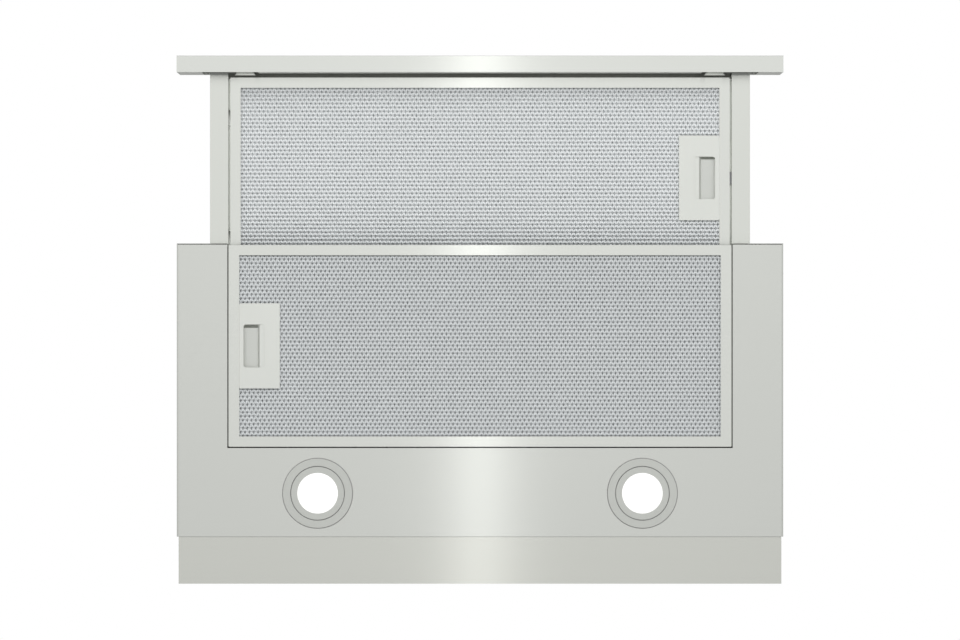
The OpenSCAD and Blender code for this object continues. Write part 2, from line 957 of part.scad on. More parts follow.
module impeller() {
    steps = 5;
    blade = concat(
        [for (i = [0:steps]) blade_at(i / steps, -1)],
        [for (i = [steps:-1:0]) blade_at(i / steps, 1)]
    );
    top = wheel_z + wheel_h;
    color(WHITE)
        translate([blower_x, blower_y, 0]) {
            rotate_extrude()
                rect([blade_r0, wheel_r], [wheel_z, wheel_z + wheel_plate]);
            rotate_extrude() {
                rect([dish_r - wheel_plate, wheel_r], [top - wheel_plate, top]);
                rect([dish_r - wheel_plate, dish_r], [dish_z, top]);
                rect([shaft_r, dish_r], [dish_z, dish_z + wheel_plate]);
                rect([shaft_r, hub_r], [dish_z - hub_drop, dish_z + wheel_plate]);
            }
            for (i = [0:blades - 1])
                rotate(i * 360 / blades)
                    translate([0, 0, wheel_z + wheel_plate / 2])
                        linear_extrude(wheel_h - wheel_plate)
                            polygon(blade);
        }
}

module capacitor() {
    color(WHITE)
        translate([cap_side + casing_t - casing_hw, cap_front - casing_hd, box_z1 - cap_h]) {
            cylinder(h = cap_h, r = cap_r);
            translate([0, 0, -cap_neck])
                cylinder(h = 2 * cap_neck, r = cap_neck_r);
            for (x = [-1, 1] * cap_neck_r / 3)
                block(span(x, cap_tab_t / 2), [-1, 1] * cap_tab / 2, [-cap_neck - cap_tab, 0]);
        }
}

// Duct collar with the ledge that the closed flaps lie on
module duct_collar() {
    color(DARK)
        translate([duct_x, 0, 0])
            difference() {
                union() {
                    translate([0, 0, casing_h])
                        cylinder(h = collar_flange_t, r = collar_flange_r);
                    translate([0, 0, casing_h])
                        cylinder(h = duct_h, r = duct_d / 2);
                }
                difference() {
                    translate([0, 0, casing_h - eps])
                        cylinder(h = duct_h + 2 * eps, r = duct_bore_r);
                    difference() {
                        translate([0, 0, ledge_z])
                            cylinder(h = ledge_t, r = duct_bore_r + eps);
                        translate([0, 0, ledge_z - eps])
                            cylinder(h = ledge_t + 2 * eps, r = duct_bore_r - ledge_w);
                    }
                }
                translate([0, 0, axle_z])
                    rotate([90, 0, 0])
                        cylinder(h = 2 * duct_d, r = axle_r + axle_play / 2, center = true);
                translate([-duct_x, 0, 0])
                    collar_screw_places()
                        translate([0, 0, casing_h - eps])
                            cylinder(h = 5, r = screw_r + hole_play);
            }
}

module collar_screw_places() {
    for (a = [45, 135, 225, 315])
        translate([duct_x, 0, 0])
            rotate(a)
                translate([collar_screw_r, 0, 0])
                    children();
}

module collar_screws() {
    color(STEEL)
        collar_screw_places()
            translate([0, 0, casing_h + collar_flange_t])
                screw(collar_flange_t + casing_t + lid_t - tip_in);
}

module flap_axle() {
    color(STEEL)
        translate([duct_x, 0, axle_z])
            rotate([90, 0, 0])
                cylinder(h = duct_d - 2 * axle_in, r = axle_r, center = true);
}

// One flap at +X of the axle, with its knuckles in every second of four places
module flap(first) {
    own = [for (i = [0:3]) if (i % 2 == first) i];
    other = [for (i = [0:3]) if (i % 2 != first) i];
    color(DARK)
        difference() {
            union() {
                intersection() {
                    translate([0, 0, flap_z])
                        cylinder(h = flap_t, r = flap_r);
                    block([flap_in, flap_r + eps], [-flap_r, flap_r], [flap_z, flap_z + flap_t]);
                }
                for (i = own)
                    translate([0, (i - 1.5) * knuckle_len, axle_z])
                        rotate([90, 0, 0])
                            cylinder(h = knuckle_len - knuckle_gap, r = knuckle_r, center = true);
            }
            for (i = other)
                block([-eps, knuckle_r + flap_in], span((i - 1.5) * knuckle_len, (knuckle_len + knuckle_gap) / 2),
                    [flap_z - eps, flap_z + flap_t + eps]);
            for (side = [-1, 1])
                block([-eps, knuckle_r + flap_in], span(side * flap_r, flap_r - 2 * knuckle_len),
                    [flap_z - eps, flap_z + flap_t + eps]);
            translate([0, 0, axle_z])
                rotate([90, 0, 0])
                    cylinder(h = 2 * duct_d, r = axle_r + axle_play, center = true);
        }
}

module flap_right() {
    translate([duct_x, 0, 0])
        flap(0);
}

module flap_left() {
    translate([duct_x, 0, 0])
        mirror([1, 0, 0])
            flap(1);
}

// Terminal box under the casing's top, with the cable gland above it
module terminal_box() {
    color(WHITE)
        difference() {
            block([box_x0, box_x0 + box_w], span(box_y, box_hd), [box_z1 - box_h, box_z1]);
            block([box_x0 + box_t, box_x0 + box_w - box_t], span(box_y, box_hd - box_t),
                [box_z1 - box_h - eps, box_z1 - box_t]);
            translate([gland_x, box_y, casing_h - 5])
                cylinder(h = 10, r = gland_r + hole_play);
        }
}

module terminal_lid() {
    z1 = box_z1 - box_h;
    color(WHITE)
        difference() {
            block([box_x0, box_x0 + box_w], span(box_y, box_hd), [z1 - lid_plate, z1]);
            for (y = [-1, 1] * (box_hd - pit_in))
                translate([gland_x, box_y + y, z1 - lid_plate - eps])
                    cylinder(h = pit_depth + eps, r = pit_r);
        }
}

module cable_gland() {
    color(DARK)
        translate([gland_x, box_y, casing_h])
            difference() {
                union() {
                    translate([0, 0, -gland_in])
                        cylinder(h = gland_len, r = gland_r);
                    cylinder(h = gland_rim_t, r = gland_r + gland_rim);
                    translate([0, 0, gland_rim_t])
                        cylinder(h = gland_len - gland_in - 2 * gland_rim_t, r = gland_r + gland_nut, $fn = 6);
                }
                translate([0, 0, -gland_in - eps])
                    cylinder(h = gland_len + 2 * eps, r = inlet_d / 2);
            }
}

// Lamps
module lamp_places() {
    for (side = [-1, 1])
        translate([side * lamp_x, lamp_y, base_z])
            children();
}

module lamp_bezel() {
    r = bezel_d / 2;
    b = barrel_d / 2;
    l = lens_d / 2 + lens_play;
    step = r - rim_w;
    face = -rim_h + groove_in;
    color(ALUMINIUM)
        translate([0, 0, base_z])
            rotate_extrude()
                polygon([
                    [l, face], [step, face], [step, face + groove_in], [step + groove_w, face + groove_in],
                    [step + groove_w, -rim_h], [r - groove_w, -rim_h], [r, groove_w - rim_h], [r, 0], [b, 0],
                    [b, lamp_h - barrel_drop], [b - lamp_wall, lamp_h - barrel_drop], [b - lamp_wall, rim_h],
                    [l, rim_h]
                ]);
}

module lamp_lens() {
    r = lens_d / 2;
    color(WHITE)
        translate([0, 0, base_z]) {
            translate([0, 0, groove_w / 2 - rim_h])
                cylinder(h = 2 * rim_h, r = r);
            translate([0, 0, rim_h])
                cylinder(h = rim_h, r = r + lens_flange);
        }
}

module lamp_bezel_left() {
    translate([-lamp_x, lamp_y, 0])
        lamp_bezel();
}

module lamp_bezel_right() {
    translate([lamp_x, lamp_y, 0])
        lamp_bezel();
}

module lamp_lens_left() {
    translate([-lamp_x, lamp_y, 0])
        lamp_lens();
}

module lamp_lens_right() {
    translate([lamp_x, lamp_y, 0])
        lamp_lens();
}

module led_modules() {
    r = barrel_d / 2 - lamp_wall - led_play;
    color(ALUMINIUM)
        lamp_places()
            rotate_extrude()
                difference() {
                    rect([0, r], [led_lift, lamp_h]);
                    rect([-eps, lens_d / 2 + lens_flange / 2], [0, led_lift + led_room]);
                    for (x = [r - fin_pitch:-fin_pitch:fin_pitch])
                        rect([x, x + fin_gap], [lamp_h - fin_h, lamp_h + eps]);
                }
}

module lamp_clips() {
    b = barrel_d / 2;
    x = b + lamp_clip_reach;
    z = lamp_h - lamp_clip_drop;
    t = lamp_clip_t;
    color(STEEL)
        lamp_places()
            both_sides()
                along_y(-lamp_clip_w / 2, lamp_clip_w / 2)
                    polygon([
                        [b, z], [b + t, z], [x + t, lamp_clip_foot], [x + t, sheet], [x, sheet],
                        [x, lamp_clip_foot - t / 2], [b, z - t]
                    ]);
}

// Filter cassettes: drawn about their own middle, on their underside, with the latch at +X
module front_filter_place() {
    translate([0, front_filter_y0 + filter_d / 2, drawer_z])
        children();
}

module rear_filter_place() {
    translate([0, rear_filter_y0 + filter_d / 2, base_z + filter_recess])
        rotate(180)
            children();
}

module filter_frame() {
    color(ALUMINIUM) {
        difference() {
            linear_extrude(filter_t)
                round_rect([-1, 1] * filter_hw, [-1, 1] * filter_d / 2, cassette_r);
            block([-1, 1] * (filter_hw - frame_t), [-1, 1] * (filter_d / 2 - frame_t),
                [frame_t, filter_t - frame_t]);
            block([-1, 1] * window_hw, [-1, 1] * window_hd, [-eps, filter_t + eps]);
            block([0, filter_hw + eps], span(0, bolt_w / 2 + play), span(bolt_z + bolt_h / 2, bolt_h / 2 + play));
        }
        for (side = [-1, 1])
            block([-filter_hw - catch_reach, -filter_hw + frame_t / 2],
                span(side * tongue_y, tongue_w / 2), [tongue_z, tongue_z + tongue_t]);
    }
}

// One flat sheet of the expanded mesh: staggered diamonds, cut away round the latch housing
module mesh_sheet(shift) {
    hole = [mesh_pitch_x / 2 - 1.5 * strand, mesh_pitch_y - strand];
    cols = floor((2 * window_hw - 2 * hole[0]) / mesh_pitch_x - 0.5) + 1;
    rows = floor((2 * window_hd - 2 * hole[1]) / mesh_pitch_y) + 1;
    linear_extrude(mesh_t)
        difference() {
            rect([-1, 1] * (filter_hw - frame_t - 0.3), [-1, 1] * (filter_d / 2 - frame_t - 0.3));
            for (j = [0:rows - 1])
                for (i = [0:cols - 1]) {
                    x = (i - (cols - 1) / 2 + ((j + shift) % 2 - 0.5) / 2) * mesh_pitch_x;
                    y = (j - (rows - 1) / 2) * mesh_pitch_y;
                    if (x + hole[0] < latch_x0 - 2 || abs(y) - hole[1] > latch_len / 2 + 2)
                        translate([x, y])
                            polygon([[-hole[0], 0], [0, -hole[1]], [hole[0], 0], [0, hole[1]]]);
                }
            rect([house_x0 - 0.3, latch_x1 + 0.6], [-1, 1] * (house_hd + 0.3));
        }
}

module filter_mesh() {
    color(MESH) {
        translate([0, 0, frame_t])
            mesh_sheet(0);
        translate([0, 0, filter_t - frame_t - mesh_t])
            mesh_sheet(1);
    }
}

// Latch plate with the housing that guides the slider
module latch_plate() {
    color(ALUMINIUM)
        difference() {
            union() {
                linear_extrude(frame_t + plate_drop)
                    round_rect([latch_x0, latch_x1], [-1, 1] * latch_len / 2, 1.5);
                block([house_x0, house_x1], [-1, 1] * house_hd, [frame_t, house_z1 + plate_drop]);
            }
            difference() {
                block([house_x0 + house_t, house_x1 - house_t], [-1, 1] * (house_hd - house_t),
                    [frame_t + plate_drop, house_z1 + plate_drop - house_t + 0.2]);
                for (side = [-1, 1])
                    block([house_x0, house_x1], span(side * (slider_hd + play + house_t / 2), house_t / 2),
                        [0, filter_t]);
            }
            translate([0, 0, -eps])
                linear_extrude(frame_t + plate_drop + 2 * eps)
                    round_rect([recess_x0, recess_x1], [-1, 1] * recess_len / 2, recess_r);
            block([recess_x1, house_x1 + eps], [-1, 1] * (bolt_w / 2 + play),
                span(bolt_z + bolt_h / 2 + plate_drop, bolt_h / 2 + play));
        }
}

module latch_plate_seat() {
    translate([0, 0, -plate_drop])
        children();
}

// Latch slider: a bent cup with the finger pocket, its lip and the bolt
module latch_slider() {
    color(ALUMINIUM) {
        along_y(-slider_hd, slider_hd)
            polygon([
                [slider_x0, slider_z], [pocket_x0 - lip_w, slider_z], [pocket_x0, slider_z + lip_h],
                [pocket_x0, slider_top - slider_t], [recess_x1 + play, slider_top - slider_t],
                [recess_x1 + play, slider_z], [slider_x1, slider_z], [slider_x1, slider_top],
                [pocket_x0 - slider_t, slider_top], [pocket_x0 - slider_t, slider_z + lip_h + 0.4],
                [pocket_x0 - lip_w - 0.5, slider_z + slider_t], [slider_x0, slider_z + slider_t]
            ]);
        for (side = [-1, 1])
            block([pocket_x0 - slider_t, slider_x1], span(side * (slider_hd - 0.5), 0.5),
                [slider_z + lip_h, slider_top]);
        block([slider_x1 - slider_t / 2, bolt_tip], [-1, 1] * bolt_w / 2, [bolt_z, bolt_z + bolt_h]);
    }
}

// Latch spring: one unbroken tube wound along X, six sides and eight rings a turn
rings_per_turn = 8;
spring_x0 = house_x0 + house_t + wire_d / 2 + 0.1;
spring_len = spring_seat - 0.1 - wire_d / 2 - spring_x0;
spring_rings = rings_per_turn * spring_turns;

function spring_at(i) =
    let (a = 360 * i / rings_per_turn)
        [spring_x0 + spring_len * i / spring_rings, spring_r * cos(a), spring_z + spring_r * sin(a)];

function spring_ring(i) =
    let (a = 360 * i / rings_per_turn)
        [
            for (k = [0:5])
                spring_at(i) + wire_d / 2 * [cos(60 * k), sin(60 * k) * cos(a), sin(60 * k) * sin(a)]
        ];

// Least distance between the tube's surface and that of its next turn
spring_gap = min([for (i = [0:spring_rings - rings_per_turn]) norm(spring_at(i + rings_per_turn) - spring_at(i))])
    - wire_d;
echo(spring_gap = spring_gap);

module latch_spring() {
    points = [for (i = [0:spring_rings]) each spring_ring(i)];
    sides = [
        for (i = [0:spring_rings - 1])
            for (k = [0:5])
                let (a = 6 * i + k, b = 6 * i + (k + 1) % 6)
                    each [[a, b, b + 6], [a, b + 6, a + 6]]
    ];
    ends = [
        for (k = [1:4])
            each [[0, k + 1, k], [6 * spring_rings, 6 * spring_rings + k, 6 * spring_rings + k + 1]]
    ];
    color(STEEL)
        polyhedron(points, concat(sides, ends));
}

module front_filter_frame() {
    front_filter_place()
        filter_frame();
}

module rear_filter_frame() {
    rear_filter_place()
        filter_frame();
}

module front_filter_mesh() {
    front_filter_place()
        filter_mesh();
}

module rear_filter_mesh() {
    rear_filter_place()
        filter_mesh();
}

module front_latch_plate() {
    front_filter_place()
        latch_plate_seat()
            latch_plate();
}

module rear_latch_plate() {
    rear_filter_place()
        latch_plate_seat()
            latch_plate();
}

module front_latch_slider() {
    front_filter_place()
        latch_slider();
}

module rear_latch_slider() {
    rear_filter_place()
        latch_slider();
}

module front_latch_spring() {
    front_filter_place()
        latch_spring();
}

module rear_latch_spring() {
    rear_filter_place()
        latch_spring();
}

// Drawer trim: a channel open to the rear, with closed cheeks at its ends and a hem in the middle
module drawer_trim() {
    color(STAINLESS)
        difference() {
            union() {
                difference() {
                    along_x(hood_w)
                        round_rect([trim_y0, trim_y1 + 10], [base_z, 0], trim_bend);
                    along_x(hood_w - 2 * sheet)
                        round_rect([trim_y0 + sheet, trim_y1 + 20], [base_z + sheet, -sheet], trim_bend_in);
                    block([-hood_w, hood_w], [trim_y1, trim_y1 + 30], [base_z - eps, eps]);
                }
                both_sides()
                    block([rail_x1 + cheek_gap, half_w - sheet / 2], [trim_y1 - sheet, trim_y1],
                        [base_z + sheet / 2, -sheet / 2]);
                block([-1, 1] * hem_hw, [trim_y1 - sheet, trim_y1], [base_z + sheet / 2, base_z + hem_h]);
            }
            along_x(2 * hem_hw)
                difference() {
                    rect([trim_y1 - hem_r, trim_y1 + eps], [base_z - eps, base_z + hem_r]);
                    translate([trim_y1 - hem_r, base_z + hem_r])
                        circle(hem_r);
                }
            block(span(buttons_x, bezel_w / 2), [trim_y0 - eps, trim_y0 + sheet + eps],
                span(buttons_zc, bezel_h / 2));
            trim_screw_places()
                translate([0, 0, -sheet - eps])
                    cylinder(h = sheet + 2 * eps, r = screw_r + hole_play);
        }
}

// Drawer rail: a channel that hides the ball slide, with a lip over the filter's side gap
module drawer_rail(slots) {
    z = drawer_z;
    yc = front_filter_y0 + filter_d / 2;
    color(STAINLESS)
        difference() {
            union() {
                along_y(trim_y0 + sheet, rail_y1)
                    difference() {
                        rect([rail_x0, rail_x1], [z, rail_z1]);
                        rect([rail_x0 + rail_t, rail_x1 - rail_t], [z + rail_t, rail_z1 + eps]);
                    }
                along_y(front_filter_y0 + 2 * play, rail_y1)
                    rect([rail_x0 - rail_lip, rail_x0 + rail_t], [rail_z1 - rail_t, rail_z1]);
            }
            if (slots == "tongues")
                for (side = [-1, 1])
                    block([rail_x0 - eps, rail_x0 + rail_t + eps],
                        span(yc + side * tongue_y, tongue_w / 2 + play),
                        span(z + tongue_z + tongue_t / 2, tongue_t / 2 + play));
            if (slots == "bolt")
                block([rail_x0 - eps, rail_x0 + rail_t + eps], span(yc, bolt_w / 2 + play),
                    span(z + bolt_z + bolt_h / 2, bolt_h / 2 + play));
        }
}

module drawer_rail_left() {
    mirror([1, 0, 0])
        drawer_rail("tongues");
}

module drawer_rail_right() {
    drawer_rail("bolt");
}

// Crossbars: one inside the trim and over the filter's front gap, one behind the filter
module front_crossbar() {
    y0 = trim_y0 + bend_r + play;
    y1 = front_filter_y0 + play;
    step = trim_y1 - front_bar_step;
    color(DARK)
        difference() {
            along_x(2 * rail_x0) {
                rect([y0, y0 + bar_t], [front_bar_z - front_bar_leg, -sheet]);
                rect([y0, step], [-sheet - bar_t, -sheet]);
                rect([step - bar_t, step], [front_bar_z - bar_t, -sheet]);
                rect([step - bar_t, y1], [front_bar_z - bar_t, front_bar_z]);
                rect([y1 - bar_t, y1], [drawer_z + filter_t + front_bar_drop, front_bar_z]);
            }
            trim_screw_places()
                translate([0, 0, -sheet - bar_t - eps])
                    cylinder(h = bar_t + 2 * eps, r = screw_r + hole_play);
        }
}

module rear_crossbar() {
    color(ZINC)
        along_x(2 * rail_x0)
            difference() {
                rect([rear_bar_y0, rear_bar_y0 + rear_bar_d], [drawer_z, drawer_z + rear_bar_h]);
                rect([rear_bar_y0 + bar_t, rear_bar_y0 + rear_bar_d - bar_t],
                    [drawer_z + bar_t, drawer_z + rear_bar_h + eps]);
            }
}

module trim_screw_places() {
    for (i = [-3, -1, 1, 3])
        translate([i / 3 * (open_hw - trim_screw_in), trim_y0 + trim_d / 2, 0])
            children();
}

module trim_screws() {
    color(STEEL)
        trim_screw_places()
            translate([0, 0, -sheet - bar_t])
                mirror([0, 0, 1])
                    screw(bar_t + sheet - tip_in);
}

// Bright sheet clips between the trim's bottom return and the crossbar, each with a flared shelf
module trim_clips() {
    leg_y = trim_y1 - clip_leg_in;
    shelf = [leg_y, front_filter_y0 - clip_gap];
    color(ALUMINIUM)
        both_sides()
            translate([clip_x, 0, 0]) {
                block([-1, 1] * clip_w / 2, [leg_y, leg_y + bar_t], [base_z + sheet, front_bar_z - bar_t]);
                translate([0, 0, drawer_z - bar_t])
                    linear_extrude(bar_t)
                        polygon([
                            [-clip_w / 2, shelf[0]], [clip_w / 2, shelf[0]],
                            [clip_w / 2 + clip_flare, shelf[1]], [-clip_w / 2 - clip_flare, shelf[1]]
                        ]);
            }
}

// Buttons: flush with the trim's front face, with a flange behind the bezel
module button_places(i) {
    translate([buttons_x + (i - 1.5) * button_pitch, button_y, buttons_zc])
        children();
}

module button_bezel() {
    color(DARK)
        difference() {
            union() {
                block(span(buttons_x, bezel_w / 2), [button_y, button_y + bezel_back], span(buttons_zc, bezel_h / 2));
                block(span(buttons_x, bezel_w / 2 + bezel_rim), [button_y + sheet, button_y + bezel_back],
                    span(buttons_zc, bezel_h / 2 + bezel_rim));
            }
            for (i = [0:3])
                button_places(i)
                    block([-1, 1] * (button_w / 2 + button_play), [-eps, bezel_back + eps],
                        [-1, 1] * (button_h / 2 + button_play));
        }
}

module push_button(i) {
    color(STAINLESS)
        button_places(i) {
            translate([0, bezel_back + button_play + button_lip, 0])
                rotate([90, 0, 0])
                    linear_extrude(bezel_back + button_play + button_lip)
                        round_rect([-1, 1] * button_w / 2, [-1, 1] * button_h / 2, button_round);
            block([-1, 1] * (button_w / 2 + button_flange),
                [bezel_back + button_play, bezel_back + button_play + button_lip],
                [-1, 1] * (button_h / 2 + button_flange));
        }
}

module switch_block() {
    front = button_y + bezel_back;
    face = front + button_play + button_lip + switch_gap;
    color(DARK)
        difference() {
            block(span(buttons_x, bezel_w / 2 + bezel_rim), [front, face + switch_d],
                span(buttons_zc, bezel_h / 2 + switch_edge));
            block(span(buttons_x, bezel_w / 2 + bezel_rim - switch_side), [front - eps, face],
                span(buttons_zc, bezel_h / 2 + switch_edge + eps));
        }
}

module button_off() {
    push_button(0);
}

module button_low() {
    push_button(1);
}

module button_high() {
    push_button(2);
}

module button_light() {
    push_button(3);
}

base_panel();
top_plate();
slide_carrier_left();
slide_carrier_right();
outer_slide_left();
outer_slide_right();
rear_spacer();
spacer_screws();
casing();
casing_screws();
scroll_housing();
scroll_cover();
inlet_grille();
motor();
motor_mount();
capacitor();
duct_collar();
collar_screws();
flap_axle();
terminal_box();
terminal_lid();
cable_gland();
side_springs();
lamp_bezel_left();
lamp_bezel_right();
lamp_lens_left();
lamp_lens_right();
led_modules();
lamp_clips();
rear_filter_frame();
rear_filter_mesh();
rear_latch_plate();
rear_latch_spring();
rear_latch_slider();
drawer_trim();
drawer_rail_left();
drawer_rail_right();
front_crossbar();
rear_crossbar();
inner_slide_left();
inner_slide_right();
trim_clips();
trim_screws();
front_filter_frame();
front_filter_mesh();
front_latch_plate();
front_latch_spring();
button_bezel();
switch_block();
front_latch_slider();
button_off();
button_low();
button_high();
button_light();
ball_cage_left();
ball_cage_right();
impeller();
motor_shaft();
flap_left();
flap_right();
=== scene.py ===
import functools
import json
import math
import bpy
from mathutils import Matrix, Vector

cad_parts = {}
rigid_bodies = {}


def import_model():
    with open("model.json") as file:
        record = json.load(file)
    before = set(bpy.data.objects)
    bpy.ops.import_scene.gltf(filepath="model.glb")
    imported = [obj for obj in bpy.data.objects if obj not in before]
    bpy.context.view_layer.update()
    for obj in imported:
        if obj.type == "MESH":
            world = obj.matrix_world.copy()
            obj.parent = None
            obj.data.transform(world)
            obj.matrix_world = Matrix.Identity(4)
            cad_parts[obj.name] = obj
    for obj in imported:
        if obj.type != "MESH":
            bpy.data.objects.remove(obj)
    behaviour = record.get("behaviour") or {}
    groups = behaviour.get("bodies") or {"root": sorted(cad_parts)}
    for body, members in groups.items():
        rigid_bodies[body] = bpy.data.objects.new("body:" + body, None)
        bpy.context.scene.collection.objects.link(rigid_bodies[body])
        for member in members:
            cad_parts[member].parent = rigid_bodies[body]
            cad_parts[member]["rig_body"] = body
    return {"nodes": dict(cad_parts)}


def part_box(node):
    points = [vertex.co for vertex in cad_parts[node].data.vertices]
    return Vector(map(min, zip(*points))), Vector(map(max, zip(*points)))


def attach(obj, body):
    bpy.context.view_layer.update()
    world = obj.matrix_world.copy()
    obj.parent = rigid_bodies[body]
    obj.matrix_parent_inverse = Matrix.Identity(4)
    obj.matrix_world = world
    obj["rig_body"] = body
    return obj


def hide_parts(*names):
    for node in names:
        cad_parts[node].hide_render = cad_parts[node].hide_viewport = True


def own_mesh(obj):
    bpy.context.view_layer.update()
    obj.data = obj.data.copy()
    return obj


bl_info = {
    "name": "Telescopic Range Hood",
    "version": (1, 0, 0),
    "blender": (4, 5, 0),
    "location": "3D View > Sidebar > Range Hood",
    "description": "Dresses a pull-out range hood in brushed steel, expanded mesh, glass and moulded plastic",
    "category": "Object",
}

import bmesh
import bpy
import numpy as np
from mathutils import Matrix, Vector

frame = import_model()
NODES = frame["nodes"]

MM = 0.001
SLACK = 0.03 * MM
SIDES = ("left", "right")
FILTERS = ("front", "rear")
ALONG_X, ALONG_Y, ALONG_Z = (1, 0, 0), (0, 1, 0), (0, 0, 1)


# Settings
class HoodFinishSettings(bpy.types.PropertyGroup):
    base_steel: bpy.props.FloatVectorProperty(
        name="Base Steel", description="Brushed stainless sheet of the fixed base",
        subtype="COLOR", size=3, min=0, max=1, default=(0.719, 0.733, 0.695))
    trim_steel: bpy.props.FloatVectorProperty(
        name="Trim Steel", description="Brushed stainless front bar that is pulled",
        subtype="COLOR", size=3, min=0, max=1, default=(0.765, 0.782, 0.742))
    rail_steel: bpy.props.FloatVectorProperty(
        name="Rail Steel", description="Brushed stainless drawer rails",
        subtype="COLOR", size=3, min=0, max=1, default=(0.758, 0.775, 0.730))
    spacer_steel: bpy.props.FloatVectorProperty(
        name="Spacer Steel", description="Brushed stainless strip behind the base",
        subtype="COLOR", size=3, min=0, max=1, default=(0.708, 0.717, 0.669))
    frame_alu: bpy.props.FloatVectorProperty(
        name="Frame Aluminium", description="Satin aluminium of the filter frames and latches",
        subtype="COLOR", size=3, min=0, max=1, default=(0.775, 0.792, 0.749))
    mesh_alu: bpy.props.FloatVectorProperty(
        name="Mesh Aluminium", description="Expanded aluminium mesh of the filters",
        subtype="COLOR", size=3, min=0, max=1, default=(0.938, 0.972, 0.982))
    galvanised: bpy.props.FloatVectorProperty(
        name="Galvanised Sheet", description="Zinc-coated sheet of the upper housing",
        subtype="COLOR", size=3, min=0, max=1, default=(0.660, 0.675, 0.690))
    plated_steel: bpy.props.FloatVectorProperty(
        name="Plated Steel", description="Bright zinc plating of slides, springs and screws",
        subtype="COLOR", size=3, min=0, max=1, default=(0.620, 0.630, 0.640))
    dark_plastic: bpy.props.FloatVectorProperty(
        name="Dark Plastic", description="Moulded plastic of the blower, collar and switch block",
        subtype="COLOR", size=3, min=0, max=1, default=(0.030, 0.031, 0.033))
    pale_plastic: bpy.props.FloatVectorProperty(
        name="Pale Plastic", description="Moulded plastic of the impeller, terminal box and capacitor",
        subtype="COLOR", size=3, min=0, max=1, default=(0.700, 0.700, 0.670))
    steel_roughness: bpy.props.FloatProperty(
        name="Steel Roughness", description="Roughness of the brushed steel",
        subtype="FACTOR", min=0.05, max=1, default=0.21)


class HoodShapeSettings(bpy.types.PropertyGroup):
    edge_break: bpy.props.FloatProperty(
        name="Edge Break", description="Rounding of sheared and folded sheet edges",
        unit="LENGTH", min=0.00005, max=0.001, default=0.00025, precision=5)
    mesh_pitch: bpy.props.FloatProperty(
        name="Mesh Pitch", description="Distance between two openings of the mesh in one row",
        unit="LENGTH", min=0.003, max=0.008, default=0.00427, precision=5)
    mesh_row: bpy.props.FloatProperty(
        name="Mesh Row", description="Distance between two rows of openings of the mesh",
        unit="LENGTH", min=0.003, max=0.008, default=0.00387, precision=5)
    mesh_strand: bpy.props.FloatProperty(
        name="Mesh Strand", description="Width of one strand of the mesh, seen square to the sheet",
        unit="LENGTH", min=0.0005, max=0.003, default=0.0021, precision=5)
    mesh_flat_tilt: bpy.props.FloatProperty(
        name="Flat Tilt", description="Slant out of the sheet of the strands that catch the light",
        subtype="ANGLE", min=0, max=1.2, default=math.radians(4))
    mesh_steep_tilt: bpy.props.FloatProperty(
        name="Steep Tilt", description="Slant out of the sheet of the strands that cross them",
        subtype="ANGLE", min=0, max=1.2, default=math.radians(10))


class HoodStageSettings(bpy.types.PropertyGroup):
    camera_distance: bpy.props.FloatProperty(
        name="Camera Distance", description="Distance from the base's underside down to the camera",
        unit="LENGTH", min=1, max=10, default=3.3)
    floor_drop: bpy.props.FloatProperty(
        name="Floor Drop", description="Distance from the base's underside down to the floor",
        unit="LENGTH", min=1, max=10, default=3.8)
    sky_strength: bpy.props.FloatProperty(
        name="Sky Strength", description="Brightness of the surroundings on matt surfaces",
        min=0, max=3, default=0.75)
    bar_power: bpy.props.FloatProperty(
        name="Bar Power", description="Power of the narrow lamp that draws the streak on the steel",
        unit="POWER", min=0, max=50, default=0.56)
    key_power: bpy.props.FloatProperty(
        name="Key Power", description="Power of the large soft lamp in front of and below the hood",
        unit="POWER", min=0, max=500, default=30)


# Node helpers
def fill(tree, node, inputs):
    """Links or sets a node's inputs. A plain colour is set without transparency."""
    for key, value in inputs.items():
        socket = node.inputs[key]
        if isinstance(value, bpy.types.NodeSocket):
            tree.links.new(value, socket)
        else:
            socket.default_value = (*value[:3], 1.0) if socket.type == "RGBA" else value


def add_node(tree, kind, inputs=None, **settings):
    """Adds one node, and sets its properties before its inputs."""
    made = tree.nodes.new(kind)
    for key, value in settings.items():
        setattr(made, key, value)
    fill(tree, made, inputs or {})
    return made


def maths(tree, operation, a, b=0.0, clamp=False):
    """One Math node's result."""
    return add_node(tree, "ShaderNodeMath", {0: a, 1: b}, operation=operation, use_clamp=clamp).outputs[0]


def between(tree, share, first, second):
    """The first value where the share is 0, the second where it is 1."""
    return add_node(tree, "ShaderNodeMix", {"Factor": share, "A": first, "B": second}).outputs[0]


def spread(tree, value, low, high, start=0.0, end=1.0, curve="LINEAR"):
    """The value's range from start to end, spread over the range from low to high."""
    limits = {"Value": value, "From Min": start, "From Max": end, "To Min": low, "To Max": high}
    return add_node(tree, "ShaderNodeMapRange", limits, interpolation_type=curve).outputs["Result"]


def soft_ramp(tree, value, start, end, low, high):
    """The low level up to the start and the high one from the end on, eased between them."""
    return spread(tree, value, low, high, start, end, "SMOOTHSTEP")


def parts(tree, vector):
    """A vector's X, Y and Z."""
    return add_node(tree, "ShaderNodeSeparateXYZ", {0: vector}).outputs


def noise(tree, where, scale, detail, distortion=0.0):
    """A soft random tone from 0 to 1."""
    values = {"Vector": where, "Scale": scale, "Detail": detail, "Distortion": distortion}
    return add_node(tree, "ShaderNodeTexNoise", values).outputs[0]


def tinted(tree, colour, tone, low, high):
    """The colour, made darker and lighter by a tone from 0 to 1 within low and high."""
    level = spread(tree, tone, low, high)
    return add_node(tree, "ShaderNodeVectorMath", {0: colour[:3], 1: level}, operation="MULTIPLY").outputs[0]


def mixed(tree, mask, first, second):
    """The first colour, and the second one where the mask is 1."""
    return add_node(tree, "ShaderNodeMix", {"Factor": mask, 6: first, 7: second}, data_type="RGBA").outputs[2]


